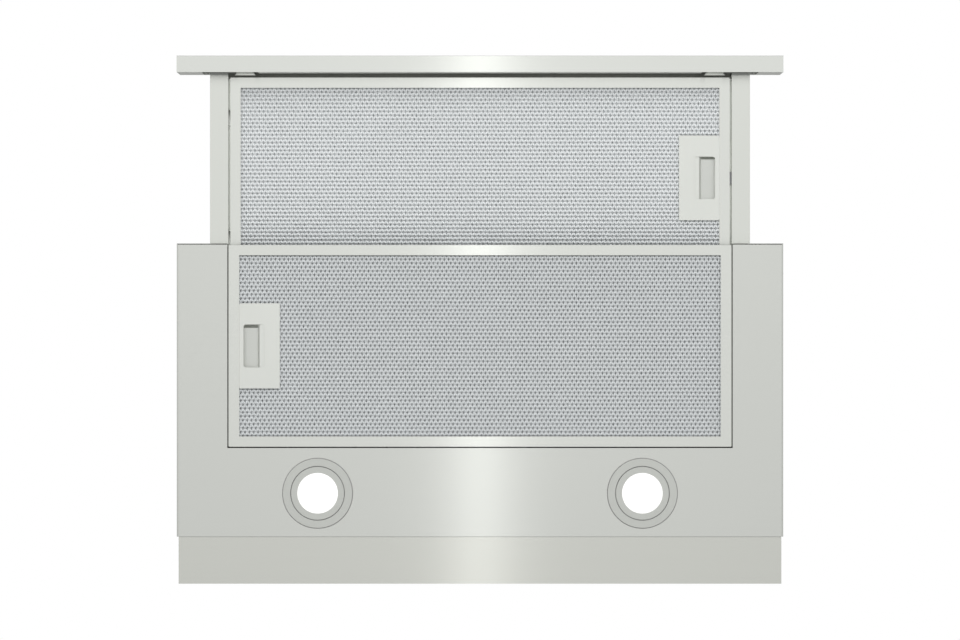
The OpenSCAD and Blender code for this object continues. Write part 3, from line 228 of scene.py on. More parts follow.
def bump(tree, height, strength, distance):
    values = {"Height": height, "Strength": strength, "Distance": distance}
    return add_node(tree, "ShaderNodeBump", values).outputs[0]


# Effects that several materials share, each built once
def start_group(name, inputs, outputs):
    """A node group, its inputs by name and its output node. An input without a default is a vector."""
    tree = bpy.data.node_groups.new(name, "ShaderNodeTree")
    for label, default in inputs.items():
        kind = "NodeSocketVector" if default is None else "NodeSocketFloat"
        socket = tree.interface.new_socket(name=label, in_out="INPUT", socket_type=kind)
        if default is not None:
            socket.default_value = default
    for label in outputs:
        tree.interface.new_socket(name=label, in_out="OUTPUT", socket_type="NodeSocketFloat")
    given = tree.nodes.new("NodeGroupInput").outputs
    return tree, given, tree.nodes.new("NodeGroupOutput")


@functools.cache
def brushed_grain():
    """Fine lines along X, or along Z on faces that look sideways, as a brushed blank shows after folding."""
    inputs = {"Coordinate": None, "Normal": None, "Fineness": 1400.0, "Drift": 6.0}
    tree, given, out = start_group("brushed_grain", inputs, ("Lines", "Clouds"))
    x, y, z = parts(tree, given["Coordinate"])
    sideways = maths(tree, "GREATER_THAN", maths(tree, "ABSOLUTE", parts(tree, given["Normal"])[0]), 0.7)
    stretched = add_node(tree, "ShaderNodeCombineXYZ", {
        0: maths(tree, "MULTIPLY", between(tree, sideways, x, z), 9.0),
        1: maths(tree, "MULTIPLY", y, given["Fineness"]),
        2: maths(tree, "MULTIPLY", between(tree, sideways, z, x), given["Fineness"])})
    fill(tree, out, {"Lines": noise(tree, stretched.outputs[0], 1.0, 3.0),
                     "Clouds": noise(tree, given["Coordinate"], given["Drift"], 2.0)})
    return tree


@functools.cache
def edge_wear():
    """A mask that is 1 on broken edges and 0 on open faces, roughened by noise."""
    inputs = {"Coordinate": None, "Reach": 0.6 * MM, "Roughen": 300.0}
    tree, given, out = start_group("edge_wear", inputs, ("Mask",))
    soft = add_node(tree, "ShaderNodeBevel", {"Radius": given["Reach"]}, samples=4).outputs[0]
    sharp = add_node(tree, "ShaderNodeNewGeometry").outputs["Normal"]
    alike = add_node(tree, "ShaderNodeVectorMath", {0: soft, 1: sharp}, operation="DOT_PRODUCT")
    bent = maths(tree, "MULTIPLY", maths(tree, "SUBTRACT", 1.0, alike.outputs["Value"], clamp=True), 4.0)
    rough = noise(tree, given["Coordinate"], given["Roughen"], 2.0)
    fill(tree, out, {"Mask": maths(tree, "MULTIPLY", bent, rough, clamp=True)})
    return tree


@functools.cache
def dust():
    """A mask of fine dust that settles on faces that look up, thicker in clouds."""
    tree, given, out = start_group("dust", {"Coordinate": None, "Amount": 0.25}, ("Mask",))
    facing = parts(tree, add_node(tree, "ShaderNodeNewGeometry").outputs["Normal"])
    upward = spread(tree, facing[2], 0.0, 1.0, start=0.4)
    clouds = noise(tree, given["Coordinate"], 14.0, 5.0)
    specks = noise(tree, given["Coordinate"], 900.0, 1.0)
    thick = maths(tree, "MULTIPLY", maths(tree, "MULTIPLY", clouds, specks), upward)
    fill(tree, out, {"Mask": maths(tree, "MULTIPLY", thick, given["Amount"], clamp=True)})
    return tree


@functools.cache
def spangle():
    """The crystal pattern of hot-dip zinc: patches of slightly different tone."""
    tree, given, out = start_group("spangle", {"Coordinate": None, "Scale": 170.0}, ("Tone", "Ridge"))
    values = {"Vector": given["Coordinate"], "Scale": 160.0, "Detail": 2.0}
    warp = add_node(tree, "ShaderNodeTexNoise", values).outputs["Color"]
    pull = {0: warp, 1: (0.006, 0.006, 0.006), 2: given["Coordinate"]}
    pulled = add_node(tree, "ShaderNodeVectorMath", pull, operation="MULTIPLY_ADD").outputs[0]
    cells = add_node(tree, "ShaderNodeTexVoronoi", {"Vector": pulled, "Scale": given["Scale"]}).outputs
    fill(tree, out, {"Tone": parts(tree, cells["Color"])[0], "Ridge": cells["Distance"]})
    return tree


@functools.cache
def moulded_grain():
    """The fine spark-eroded skin of moulded plastic, with slow flow marks."""
    tree, given, out = start_group("moulded_grain", {"Coordinate": None, "Scale": 1300.0}, ("Pits", "Flow"))
    fill(tree, out, {"Pits": noise(tree, given["Coordinate"], given["Scale"], 2.0),
                     "Flow": noise(tree, given["Coordinate"], 9.0, 3.0, 1.2)})
    return tree


def effect(tree, group, where, **values):
    """The outputs of a shared effect, placed in a material with its own values."""
    inputs = {"Coordinate": where["Object"], **values}
    return add_node(tree, "ShaderNodeGroup", inputs, node_tree=group).outputs


# Materials
DUST_COLOUR = (0.42, 0.40, 0.37)
SKIN_DEPTH = 0.2 * MM


def start_material(name, roughness, metallic=0.0):
    """A new material, with its tree, its shader and the coordinates of its surface."""
    material = bpy.data.materials.new(name)
    material.use_nodes = True
    tree = material.node_tree
    tree.nodes.clear()
    shader = add_node(tree, "ShaderNodeBsdfPrincipled", {"Roughness": roughness, "Metallic": metallic})
    add_node(tree, "ShaderNodeOutputMaterial", {"Surface": shader.outputs[0]})
    return material, tree, shader, add_node(tree, "ShaderNodeTexCoord").outputs


def lighter(colour, factor):
    return [min(1.0, c * factor) for c in colour]


def brushed_steel(name, colour, fineness=1400.0):
    """Sheet brushed along X: long fine lines, and highlights that spread across them."""
    roughness = bpy.context.scene.hood_finish.steel_roughness
    material, tree, shader, where = start_material(name, roughness, 1.0)
    grain = effect(tree, brushed_grain(), where, Normal=where["Normal"], Fineness=fineness)
    wear = effect(tree, edge_wear(), where)
    plain = tinted(tree, colour, grain["Lines"], 0.965, 1.035)
    lines = spread(tree, grain["Lines"], roughness - 0.02, roughness + 0.02)
    fill(tree, shader, {
        "Base Color": mixed(tree, wear["Mask"], plain, lighter(colour, 1.12)),
        "Roughness": maths(tree, "ADD", lines, spread(tree, grain["Clouds"], -0.01, 0.01)),
        "Normal": bump(tree, grain["Lines"], 0.05, SKIN_DEPTH),
        "Anisotropic": 1.0,
        "Tangent": add_node(tree, "ShaderNodeCombineXYZ", {0: 0.0, 1: 1.0, 2: 0.3}).outputs[0]})
    return material


def satin_metal(name, colour, roughness, pitting=0.06, metallic=1.0):
    """Etched aluminium or plated steel: an even satin skin with faint handling marks."""
    material, tree, shader, where = start_material(name, roughness, metallic)
    skin = effect(tree, moulded_grain(), where, Scale=1700.0)
    wear = effect(tree, edge_wear(), where)
    plain = tinted(tree, colour, skin["Flow"], 0.96, 1.04)
    fill(tree, shader, {
        "Base Color": mixed(tree, wear["Mask"], plain, lighter(colour, 1.15)),
        "Roughness": spread(tree, skin["Flow"], roughness - 0.06, roughness + 0.06),
        "Normal": bump(tree, skin["Pits"], pitting, SKIN_DEPTH)})
    return material


def galvanised_sheet(name, colour):
    """Zinc-coated sheet: a crystal pattern, worn edges, and dust on what looks up."""
    material, tree, shader, where = start_material(name, 0.4, 1.0)
    zinc = effect(tree, spangle(), where)
    wear = effect(tree, edge_wear(), where)
    settled = effect(tree, dust(), where, Amount=0.5)["Mask"]
    plain = tinted(tree, colour, zinc["Tone"], 0.90, 1.08)
    worn = mixed(tree, wear["Mask"], plain, lighter(colour, 1.2))
    matt = maths(tree, "MULTIPLY", settled, 0.5)
    fill(tree, shader, {
        "Base Color": mixed(tree, settled, worn, DUST_COLOUR),
        "Roughness": maths(tree, "ADD", spread(tree, zinc["Tone"], 0.36, 0.48), matt, clamp=True),
        "Metallic": maths(tree, "SUBTRACT", 1.0, settled),
        "Normal": bump(tree, zinc["Ridge"], 0.04, 0.5 * MM)})
    return material


def moulded_plastic(name, colour, roughness):
    """Injection moulded plastic: a fine grain, slow flow marks, paler edges and dust."""
    material, tree, shader, where = start_material(name, roughness)
    skin = effect(tree, moulded_grain(), where)
    wear = effect(tree, edge_wear(), where)
    settled = effect(tree, dust(), where, Amount=0.3)["Mask"]
    plain = tinted(tree, colour, skin["Flow"], 0.88, 1.12)
    pale = [c * 0.8 + 0.12 for c in colour]
    worn = mixed(tree, maths(tree, "MULTIPLY", wear["Mask"], 0.35), plain, pale)
    fill(tree, shader, {
        "Base Color": mixed(tree, settled, worn, DUST_COLOUR),
        "Roughness": spread(tree, skin["Flow"], roughness - 0.07, roughness + 0.07),
        "Normal": bump(tree, skin["Pits"], 0.12, 0.3 * MM)})
    return material


def lit_lens(name, colour):
    """Opal lens of a lamp that is switched on: an even glow with a faint grain."""
    material, tree, shader, where = start_material(name, 0.25)
    skin = effect(tree, moulded_grain(), where, Scale=700.0)
    fill(tree, shader, {
        "Base Color": tinted(tree, (0.16, 0.16, 0.16), skin["Pits"], 0.9, 1.0),
        "Emission Color": tinted(tree, colour, skin["Pits"], 0.985, 1.0),
        "Emission Strength": 1.0,
        "Normal": bump(tree, skin["Pits"], 0.1, SKIN_DEPTH)})
    return material


# Every finish: its maker, its colour or the setting that holds it, the colour's level, the maker's values
FINISHES = {
    "base_steel": (brushed_steel, "base_steel", 1.0, {}),
    "trim_steel": (brushed_steel, "trim_steel", 1.0, {}),
    "rail_steel": (brushed_steel, "rail_steel", 1.0, {}),
    "spacer_steel": (brushed_steel, "spacer_steel", 1.0, {}),
    "frame_aluminium": (brushed_steel, "frame_alu", 1.0, {"fineness": 1100.0}),
    # Satin aluminium of the latches and clips; on the front filter's tongues its higher level is painted
    # light in the slot.
    "latch_aluminium": (satin_metal, "frame_alu", 1.12, {"roughness": 0.42}),
    # A darker copy of the latch aluminium: painted shade on the floor of the slider's pocket.
    "pocket_aluminium": (satin_metal, "frame_alu", 0.95, {"roughness": 0.42}),
    "bezel_aluminium": (satin_metal, "frame_alu", 0.90, {"roughness": 0.42}),
    # The rear filter's mesh and core are darker copies of the front's: painted shade, standing for light that
    # passes through the front filter from above but not through the rear one.
    "front_mesh_aluminium": (satin_metal, "mesh_alu", 1.0, {"roughness": 0.30, "metallic": 0.2}),
    "rear_mesh_aluminium": (satin_metal, "mesh_alu", 0.81, {"roughness": 0.30, "metallic": 0.2}),
    "front_mesh_core": (satin_metal, "mesh_alu", 1.0, {"roughness": 0.6, "pitting": 0.1, "metallic": 0.0}),
    "rear_mesh_core": (satin_metal, "mesh_alu", 0.75, {"roughness": 0.6, "pitting": 0.1, "metallic": 0.0}),
    "plated_steel": (satin_metal, "plated_steel", 1.0, {"roughness": 0.30}),
    # Dark plated steel of the motor; on the sliders' bolts it is painted shade.
    "motor_steel": (satin_metal, "plated_steel", 0.5, {"roughness": 0.42, "pitting": 0.1}),
    "weld_steel": (satin_metal, "galvanised", 0.72, {"roughness": 0.45, "pitting": 0.1}),
    # Dark grey steel of the front crossbar; on the rear filter's tongues it is painted shade.
    "blackened_steel": (satin_metal, (0.30, 0.31, 0.28), 1.0, {"roughness": 0.45, "pitting": 0.1}),
    "hem_grey": (satin_metal, (0.85, 0.86, 0.82), 1.0, {"roughness": 0.45, "metallic": 0.1}),
    "galvanised_sheet": (galvanised_sheet, "galvanised", 1.0, {}),
    "dark_moulding": (moulded_plastic, "dark_plastic", 1.0, {"roughness": 0.45}),
    "pale_moulding": (moulded_plastic, "pale_plastic", 1.0, {"roughness": 0.42}),
    # Grey of the seal round each lamp bezel, which also paints the shadow of the gap there, and painted shade
    # in the bezel's groove.
    "seal_grey": (moulded_plastic, (0.30, 0.30, 0.29), 1.0, {"roughness": 0.5}),
    # Colours of the plate under each rail's front end, both painted shade: grey behind the front bar, dark
    # inside it.
    "shoe_grey": (moulded_plastic, (0.42, 0.44, 0.41), 1.0, {"roughness": 0.5}),
    "shoe_dark": (moulded_plastic, (0.23, 0.24, 0.22), 1.0, {"roughness": 0.5}),
    "lamp_glow": (lit_lens, (1.0, 1.0, 0.985), 1.0, {}),
}


@functools.cache
def material_named(name):
    """The finish's material, made when it is first asked for."""
    maker, colour, level, values = FINISHES[name]
    if isinstance(colour, str):
        colour = getattr(bpy.context.scene.hood_finish, colour)
    return maker(name, [c * level for c in colour], **values)


# Mesh helpers
def add_object(name, data):
    made = bpy.data.objects.new(name, data)
    bpy.context.scene.collection.objects.link(made)
    return made


def body_of(node):
    return NODES[node]["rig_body"]


def new_piece(name, mesh, finish, body, replaced=()):
    """Links a mesh as a piece that rides on a body, with its finish."""
    piece = add_object(name, mesh)
    mesh.materials.clear()
    mesh.materials.append(material_named(finish))
    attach(piece, body)
    if replaced:
        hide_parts(*replaced)
    return piece


def finish_nodes(finish, *nodes):
    """Gives its finish to every CAD node that stays."""
    for node in nodes:
        for place in NODES[node].material_slots:
            place.material = material_named(finish)


def break_edges(piece, width, angle):
    """Rounds the edges that turn by more than the angle, in degrees."""
    if width > 0:
        rounding = piece.modifiers.new("edge_break", "BEVEL")
        rounding.width = width
        rounding.segments = 2
        rounding.limit_method = "ANGLE"
        rounding.angle_limit = math.radians(angle)


def pull_bend(form, edge_y, low_z, radius, side):
    """Draws a bend along X out to a tight corner. The side is 1 for a rear edge and -1 for a front one."""
    middle_y, middle_z = edge_y - side * radius, low_z + radius
    for vertex in form.verts:
        y, z = (vertex.co.y - middle_y) * side, vertex.co.z - middle_z
        if y > -SLACK and z < SLACK and abs(math.hypot(y, z) - radius) < SLACK:
            vertex.co.y = edge_y


def folded_piece(node, name, finish, edge=None, angle=30.0, tight=()):
    """A piece with the node's own form, its flat faces joined and its edges broken."""
    mesh = NODES[node].data.copy()
    mesh.name = name
    for old in ("custom_normal", "sharp_face", "sharp_edge"):
        found = mesh.attributes.get(old)
        if found:
            mesh.attributes.remove(found)
    form = bmesh.new()
    form.from_mesh(mesh)
    for corner in tight:
        pull_bend(form, *corner)
    bmesh.ops.remove_doubles(form, verts=form.verts, dist=1e-6)
    bmesh.ops.dissolve_degenerate(form, dist=1e-6, edges=form.edges)
    bmesh.ops.dissolve_limit(form, angle_limit=math.radians(0.5), verts=form.verts, edges=form.edges)
    for face in form.faces:
        face.smooth = True
    form.to_mesh(mesh)
    form.free()
    mesh.set_sharp_from_angle(angle=math.radians(angle))
    piece = new_piece(name, mesh, finish, body_of(node), [node])
    break_edges(piece, bpy.context.scene.hood_shape.edge_break if edge is None else edge, angle)
    level_faces = piece.modifiers.new("level_faces", "WEIGHTED_NORMAL")
    level_faces.weight = 100
    level_faces.keep_sharp = True
    return piece


def built_piece(name, form, finish, body, edge=0.0):
    """Ends a bmesh as a piece, with broken edges where a width is given."""
    bmesh.ops.recalc_face_normals(form, faces=form.faces)
    mesh = bpy.data.meshes.new(name)
    form.to_mesh(mesh)
    form.free()
    piece = new_piece(name, mesh, finish, body)
    break_edges(piece, edge, 40.0)
    return piece


def second_finish(piece, finish, chosen):
    """Gives another finish to the faces for which the test holds."""
    piece.data.materials.append(material_named(finish))
    for face in piece.data.polygons:
        if chosen(face):
            face.material_index = len(piece.data.materials) - 1


def grid_mesh(name, points, faces):
    """A mesh of four-sided faces."""
    mesh = bpy.data.meshes.new(name)
    mesh.vertices.add(len(points))
    mesh.vertices.foreach_set("co", np.asarray(points, np.float32).ravel())
    faces = np.asarray(faces, np.int32)
    mesh.loops.add(faces.size)
    mesh.loops.foreach_set("vertex_index", faces.ravel())
    mesh.polygons.add(len(faces))
    mesh.polygons.foreach_set("loop_start", np.arange(0, faces.size, 4, dtype=np.int32))
    mesh.update(calc_edges=True)
    mesh.validate()
    return mesh


def add_block(form, low, high):
    """A strip of sheet between two corners."""
    for vertex in bmesh.ops.create_cube(form, size=1.0)["verts"]:
        vertex.co = Vector([a + (c + 0.5) * (b - a) for a, b, c in zip(low, high, vertex.co)])


# Filters
LATCH_SIDE = {"front": 1, "rear": -1}
# Finish of the tongues in the rail's slot: painted light on the front filter's, painted shade on the rear
# filter's.
SLOT_PAINTED_LIGHT = {"front": "latch_aluminium", "rear": "blackened_steel"}
SLOT_PAINT_REACH = 2.6 * MM
ROLLED_SIDE = {"front": 0.0, "rear": 1.1 * MM}
POCKET_SLOPE = {"front": 2.4 * MM, "rear": 3.2 * MM}
POCKET_FLOOR = 1.3 * MM
SLIDER_SET_BACK = 0.7 * MM

STRAND_THICK = 0.25 * MM
STRAND_SHORTEST = 0.3 * MM
STRAND_TWIST = math.radians(3)
STRAND_SEED = 5
RIM_GAP = 0.4 * MM
SHEET_DEPTH = 0.9 * MM
HOUSING_OVERLAP, HOUSING_END_OVERLAP = 1.8 * MM, 1.0 * MM

CORE_DEPTH = 2.6 * MM
CORE_GAP = 1 * MM
CORE_GRID = (220, 84)
CORE_CRUMPLE = 0.4 * MM
CORE_SEED = 7


def paint_slot_light_on_ends(piece, side, finish):
    """Gives the finish to the tongues and the bolt where they stick out of the filter's sides: a lighter
    finish there is painted light, a darker one painted shade of the rail's slot.
    """
    low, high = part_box(side + "_filter_frame")
    edge = max(abs(low.x), abs(high.x)) - SLOT_PAINT_REACH
    form = bmesh.new()
    form.from_mesh(piece.data)
    for sign in (-1, 1):
        bmesh.ops.bisect_plane(form, geom=form.verts[:] + form.edges[:] + form.faces[:], dist=1e-6,
                               plane_co=(sign * edge, 0, 0), plane_no=ALONG_X)
    form.to_mesh(piece.data)
    form.free()
    second_finish(piece, finish, lambda face: abs(face.center.x) > edge)


def filter_sizes(side):
    """Middle of the filter and its half sizes."""
    low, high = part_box(side + "_filter_mesh")
    return (low + high) / 2, (high - low) / 2


def housing_rectangle(side, middle):
    """Where the latch housing stands, from the filter's middle and with the latch at the right."""
    low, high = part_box(side + "_latch_plate")
    near, far = sorted((x - middle.x) * LATCH_SIDE[side] for x in (low.x, high.x))
    wide = (high.y - low.y) / 2 - HOUSING_OVERLAP
    return np.array([near + HOUSING_OVERLAP, -wide]), np.array([far + HOUSING_END_OVERLAP, wide])


def mesh_piece(side, name, finish, mesh, middle, level, replaced=()):
    """Places a sheet of the filter at its level, and turns the rear filter's sheets to its latch. The front
    and rear finishes differ by painted shade.
    """
    turn = Matrix.Rotation(0 if LATCH_SIDE[side] > 0 else math.pi, 4, "Z")
    mesh.transform(Matrix.Translation((middle.x, middle.y, level)) @ turn)
    new_piece(side + name, mesh, side + finish, body_of(side + "_filter_mesh"), replaced)


def strand_ends(half, lean):
    """Both ends of every strand that leans to one side, as two arrays of points."""
    shape = bpy.context.scene.hood_shape
    pitch, row = shape.mesh_pitch, shape.mesh_row
    columns, rows = int(half.x / pitch) + 2, int(half.y / row) + 2
    cells = [((i + (0.25 if j % 2 else -0.25)) * pitch, j)
             for j in range(-rows, rows + 1) for i in range(-columns, columns + 1)]
    return (np.array([(x, j * row) for x, j in cells]),
            np.array([(x + lean * pitch / 2, (j + 1) * row) for x, j in cells]))


def clip_strands(starts, ends, low, high, keep_inside):
    """Cuts the strands at a rectangle, and keeps what lies inside or outside it."""
    steps = np.linspace(0, 1, 9)
    points = starts[:, None] + (ends - starts)[:, None] * steps[None, :, None]
    inside = ((points > low) & (points < high)).all(axis=2)
    kept = inside if keep_inside else ~inside
    some = kept.any(axis=1)
    first = np.argmax(kept, axis=1)
    last = len(steps) - 1 - np.argmax(kept[:, ::-1], axis=1)
    line = np.arange(len(starts))
    return points[line, first][some], points[line, last][some]


def ribbons(starts, ends, width, tilt, seed):
    """Corners of a slanted ribbon along every strand, each turned a little off the others."""
    run = ends - starts
    length = np.linalg.norm(run, axis=1)
    good = length > STRAND_SHORTEST
    starts, ends = starts[good], ends[good]
    run = run[good] / length[good][:, None]
    side = np.stack([run[:, 1], -run[:, 0]], axis=1)
    slant = (tilt + np.random.default_rng(seed).normal(0, STRAND_TWIST, len(run)))[:, None]
    half, rise = width / 2, STRAND_THICK / 2
    reach = np.concatenate([side * half, half * np.tan(slant)], axis=1)
    lift = np.concatenate([-side * rise * np.sin(slant), rise * np.cos(slant)], axis=1)
    flat = np.zeros((len(run), 1))
    corners = [np.concatenate([end, flat], axis=1) + across + up for end in (starts, ends)
               for across, up in ((-reach, -lift), (reach, -lift), (reach, lift), (-reach, lift))]
    return np.stack(corners, axis=1).reshape(-1, 3)


def expanded_sheet(side, name, level, replaced=()):
    """One sheet of expanded mesh in a filter, cut away round the latch housing."""
    shape = bpy.context.scene.hood_shape
    middle, half = filter_sizes(side)
    rim = np.array([half.x - RIM_GAP, half.y - RIM_GAP])
    points = []
    for lean, tilt in ((-1, shape.mesh_flat_tilt), (1, shape.mesh_steep_tilt)):
        starts, ends = clip_strands(*strand_ends(half, lean), -rim, rim, True)
        starts, ends = clip_strands(starts, ends, *housing_rectangle(side, middle), False)
        points.append(ribbons(starts, ends, shape.mesh_strand, tilt, STRAND_SEED + lean))
    points = np.concatenate(points)
    sides = np.array([[0, 1, 5, 4], [2, 3, 7, 6], [1, 2, 6, 5], [3, 0, 4, 7], [0, 3, 2, 1], [4, 5, 6, 7]])
    faces = (np.arange(len(points) // 8)[:, None, None] * 8 + sides[None]).reshape(-1, 4)
    mesh_piece(side, name, "_mesh_aluminium", grid_mesh(side + name, points, faces), middle, level, replaced)


def mesh_core(side, level):
    """The crumpled inner layers of the filter, which no light passes straight through."""
    middle, half = filter_sizes(side)
    housing_low, housing_high = housing_rectangle(side, middle)
    columns, rows = CORE_GRID
    xs = np.linspace(-half.x + CORE_GAP, half.x - CORE_GAP, columns)
    ys = np.linspace(-half.y + CORE_GAP, half.y - CORE_GAP, rows)
    heights = np.random.default_rng(CORE_SEED).uniform(-CORE_CRUMPLE, CORE_CRUMPLE, (rows, columns))
    points = np.stack([*np.meshgrid(xs, ys), heights], axis=2).reshape(-1, 3)
    faces = []
    for j, y in enumerate((ys[:-1] + ys[1:]) / 2):
        for i, x in enumerate((xs[:-1] + xs[1:]) / 2):
            if not (housing_low[0] < x < housing_high[0] and housing_low[1] < y < housing_high[1]):
                k = j * columns + i
                faces.append((k, k + 1, k + columns + 1, k + columns))
    mesh_piece(side, "_mesh_core", "_mesh_core", grid_mesh(side + "_mesh_core", points, faces), middle, level)


# Pressed details of the upper housing: length, width, height, rings and steps of each kind
LONG_BEAD = (400 * MM, 16 * MM, 2.2 * MM)
END_BEAD = (64 * MM, 14 * MM, 2.0 * MM)
ROOF_BEAD = (210 * MM, 16 * MM, 2.0 * MM)
PLATE_BEAD = (190 * MM, 9 * MM, 1.4 * MM)
WELD = (0.02 * MM, 5.6 * MM, 0.35 * MM, 3, 8)
RIVET = (0.02 * MM, 5.0 * MM, 1.2 * MM, 5, 8)
BEAD_TIP = 0.02 * MM
BEAD_SUNK = 0.1 * MM
FOLD_THICK = 0.8 * MM


def press_bead(form, point, normal, along, length, width, height, rings=6, steps=10):
    """A raised bead with round ends at a point of a wall, pressed out along the wall's normal."""
    out, run = Vector(normal), Vector(along)
    place = Matrix.Translation(point) @ Matrix((run, out.cross(run), out)).transposed().to_4x4()
    rows = []
    for k in range(rings + 1):
        share = k / rings
        radius = max(width / 2 * (1 - share), BEAD_TIP)
        level = height * math.sin(math.pi / 2 * share) - BEAD_SUNK
        row = []
        for end in (1, -1):
            for j in range(steps + 1):
                turn = math.pi * j / steps - math.pi / 2
                corner = (end * (length / 2 + radius * math.cos(turn)), end * radius * math.sin(turn), level)
                row.append(form.verts.new(place @ Vector(corner)))
        rows.append(row)
    for first, second in zip(rows, rows[1:]):
        for i in range(len(first)):
            j = (i + 1) % len(first)
            form.faces.new((first[i], first[j], second[j], second[i])).smooth = True
    form.faces.new(rows[-1]).smooth = True


# Stage
UNDERSIDE = -40 * MM
FLOOR_REACH, FLOOR_PARTS = 20.0, 16
FLOOR_COLOUR, FLOOR_GLOW = (0.92, 0.92, 0.92), 0.29
LAMPS = {
    "streak_bar": {"size": (0.06, 2.2), "place": (0.0, -0.35, -3.34), "target": (0.0, -0.35, 0.0)},
    "key_softbox": {"size": (2.4, 1.2), "place": (0.0, -2.4, -2.2), "target": (0.0, 0.0, 0.0)},
}
CAMERA_Y, CAMERA_LENS, CAMERA_SENSOR = -69.0 * MM, 125.6, 36.0

# What gloss sees: each ramp's start and end, and the level at both. The far end falls to the corner's level.
SKY_RISING = (0.15, 0.65, 0.0, 1.0)
SKY_ZENITH = (0.84, 0.95, 0.90, 0.25)
SKY_HORIZON = (0.3, 0.9, 0.20, 0.75)
FLOOR_LENGTHWISE = (-1.4, 1.4, 1.15, 0.68)
FLOOR_SIDEWAYS = (0.0, 3.5, 1.0, 0.72)
FLOOR_CORNER = (1.2, 3.2, 0.12, 0.85)
FLOOR_FAR_END = (2.0, 4.2, 1.0)


# Operators
class HOOD_OT_stage(bpy.types.Operator):
    """Sets up the pale floor, the soft studio light and the camera below the hood"""
    bl_idname = "hood.build_stage"
    bl_label = "Stage"

    def execute(self, context):
        stage = context.scene.hood_stage
        context.scene.view_settings.view_transform = "Standard"
        context.scene.world = self.make_sky(stage)
        self.make_floor(stage)
        self.area_lamp("streak_bar", stage.bar_power)
        self.area_lamp("key_softbox", stage.key_power).visible_glossy = False
        context.scene.camera = self.make_camera(stage)
        return {"FINISHED"}

    def shown(self, tree, ray):
        """1 where the camera sees the surroundings, also through glass."""
        return maths(tree, "MAXIMUM", ray["Is Camera Ray"], ray["Is Transmission Ray"])

    def make_sky(self, stage):
        """A sky that is even on matt surfaces, shaded in gloss and white to the camera."""
        world = bpy.data.worlds.new("studio")
        world.use_nodes = True
        tree = world.node_tree
        tree.nodes.clear()
        look = parts(tree, add_node(tree, "ShaderNodeTexCoord").outputs["Generated"])
        rising = soft_ramp(tree, look[2], *SKY_RISING)
        zenith = soft_ramp(tree, look[2], *SKY_ZENITH)
        horizon = soft_ramp(tree, maths(tree, "ABSOLUTE", look[0]), *SKY_HORIZON)
        ray = add_node(tree, "ShaderNodeLightPath").outputs
        mirrored = between(tree, rising, horizon, zenith)
        plain = between(tree, ray["Is Glossy Ray"], stage.sky_strength, mirrored)
        level = between(tree, self.shown(tree, ray), plain, 1.0)
        back = add_node(tree, "ShaderNodeBackground", {"Color": (1, 1, 1), "Strength": level})
        add_node(tree, "ShaderNodeOutputWorld", {"Surface": back.outputs[0]})
        return world

    def make_floor(self, stage):
        """A pale floor that takes the shadow, is white to the camera and clear from below."""
        steps = np.linspace(-FLOOR_REACH, FLOOR_REACH, FLOOR_PARTS + 1)
        points = [(x, y, UNDERSIDE - stage.floor_drop) for y in steps for x in steps]
        row = len(steps)
        corners = [j * row + i for j in range(FLOOR_PARTS) for i in range(FLOOR_PARTS)]
        mesh = grid_mesh("floor", points, [(k, k + 1, k + row + 1, k + row) for k in corners])
        material, tree, shader, where = start_material("pale_floor", 0.8)
        ray = add_node(tree, "ShaderNodeLightPath").outputs
        fill(tree, shader, {
            "Base Color": tinted(tree, FLOOR_COLOUR, noise(tree, where["Object"], 3.0, 4.0), 0.99, 1.01),
            "Emission Color": (1, 1, 1),
            "Emission Strength": maths(tree, "MULTIPLY", self.shown(tree, ray), FLOOR_GLOW)})
        x, y = parts(tree, where["Object"])[:2]
        aside = maths(tree, "ABSOLUTE", x)
        corner = soft_ramp(tree, aside, *FLOOR_CORNER)
        far_end = soft_ramp(tree, maths(tree, "ABSOLUTE", y), *FLOOR_FAR_END, corner)
        lengthwise = maths(tree, "MULTIPLY", soft_ramp(tree, y, *FLOOR_LENGTHWISE), far_end)
        shade = maths(tree, "MULTIPLY", lengthwise, soft_ramp(tree, aside, *FLOOR_SIDEWAYS))
        mirrored = add_node(tree, "ShaderNodeEmission", {"Strength": shade}).outputs[0]
        above = self.either(tree, ray["Is Glossy Ray"], shader.outputs[0], mirrored)
        clear = add_node(tree, "ShaderNodeBsdfTransparent").outputs[0]
        below = add_node(tree, "ShaderNodeNewGeometry").outputs["Backfacing"]
        fill(tree, tree.nodes["Material Output"], {"Surface": self.either(tree, below, above, clear)})
        mesh.materials.append(material)
        add_object("floor", mesh)

    def either(self, tree, share, first, second):
        """The first shader where the share is 0, the second where it is 1."""
        return add_node(tree, "ShaderNodeMixShader", {0: share, 1: first, 2: second}).outputs[0]

    def area_lamp(self, name, power):
        """A rectangular lamp that lights its target and isn't seen itself."""
        light = bpy.data.lights.new(name, "AREA")
        light.shape = "RECTANGLE"
        light.size, light.size_y = LAMPS[name]["size"]
        light.energy = power
        lamp = add_object(name, light)
        lamp.location = LAMPS[name]["place"]
        aim = Vector(LAMPS[name]["target"]) - Vector(LAMPS[name]["place"])
        lamp.rotation_euler = aim.to_track_quat("-Z", "Y").to_euler()
        lamp.visible_camera = False
        return lamp

    def make_camera(self, stage):
        """The camera below the hood, which looks straight up."""
        camera = bpy.data.cameras.new("camera")
        camera.sensor_width = CAMERA_SENSOR
        camera.lens = CAMERA_LENS
        camera.clip_end = 50.0
        holder = add_object("camera", camera)
        holder.location = (0.0, CAMERA_Y, UNDERSIDE - stage.camera_distance)
        holder.rotation_euler = (math.pi, 0.0, 0.0)
        return holder


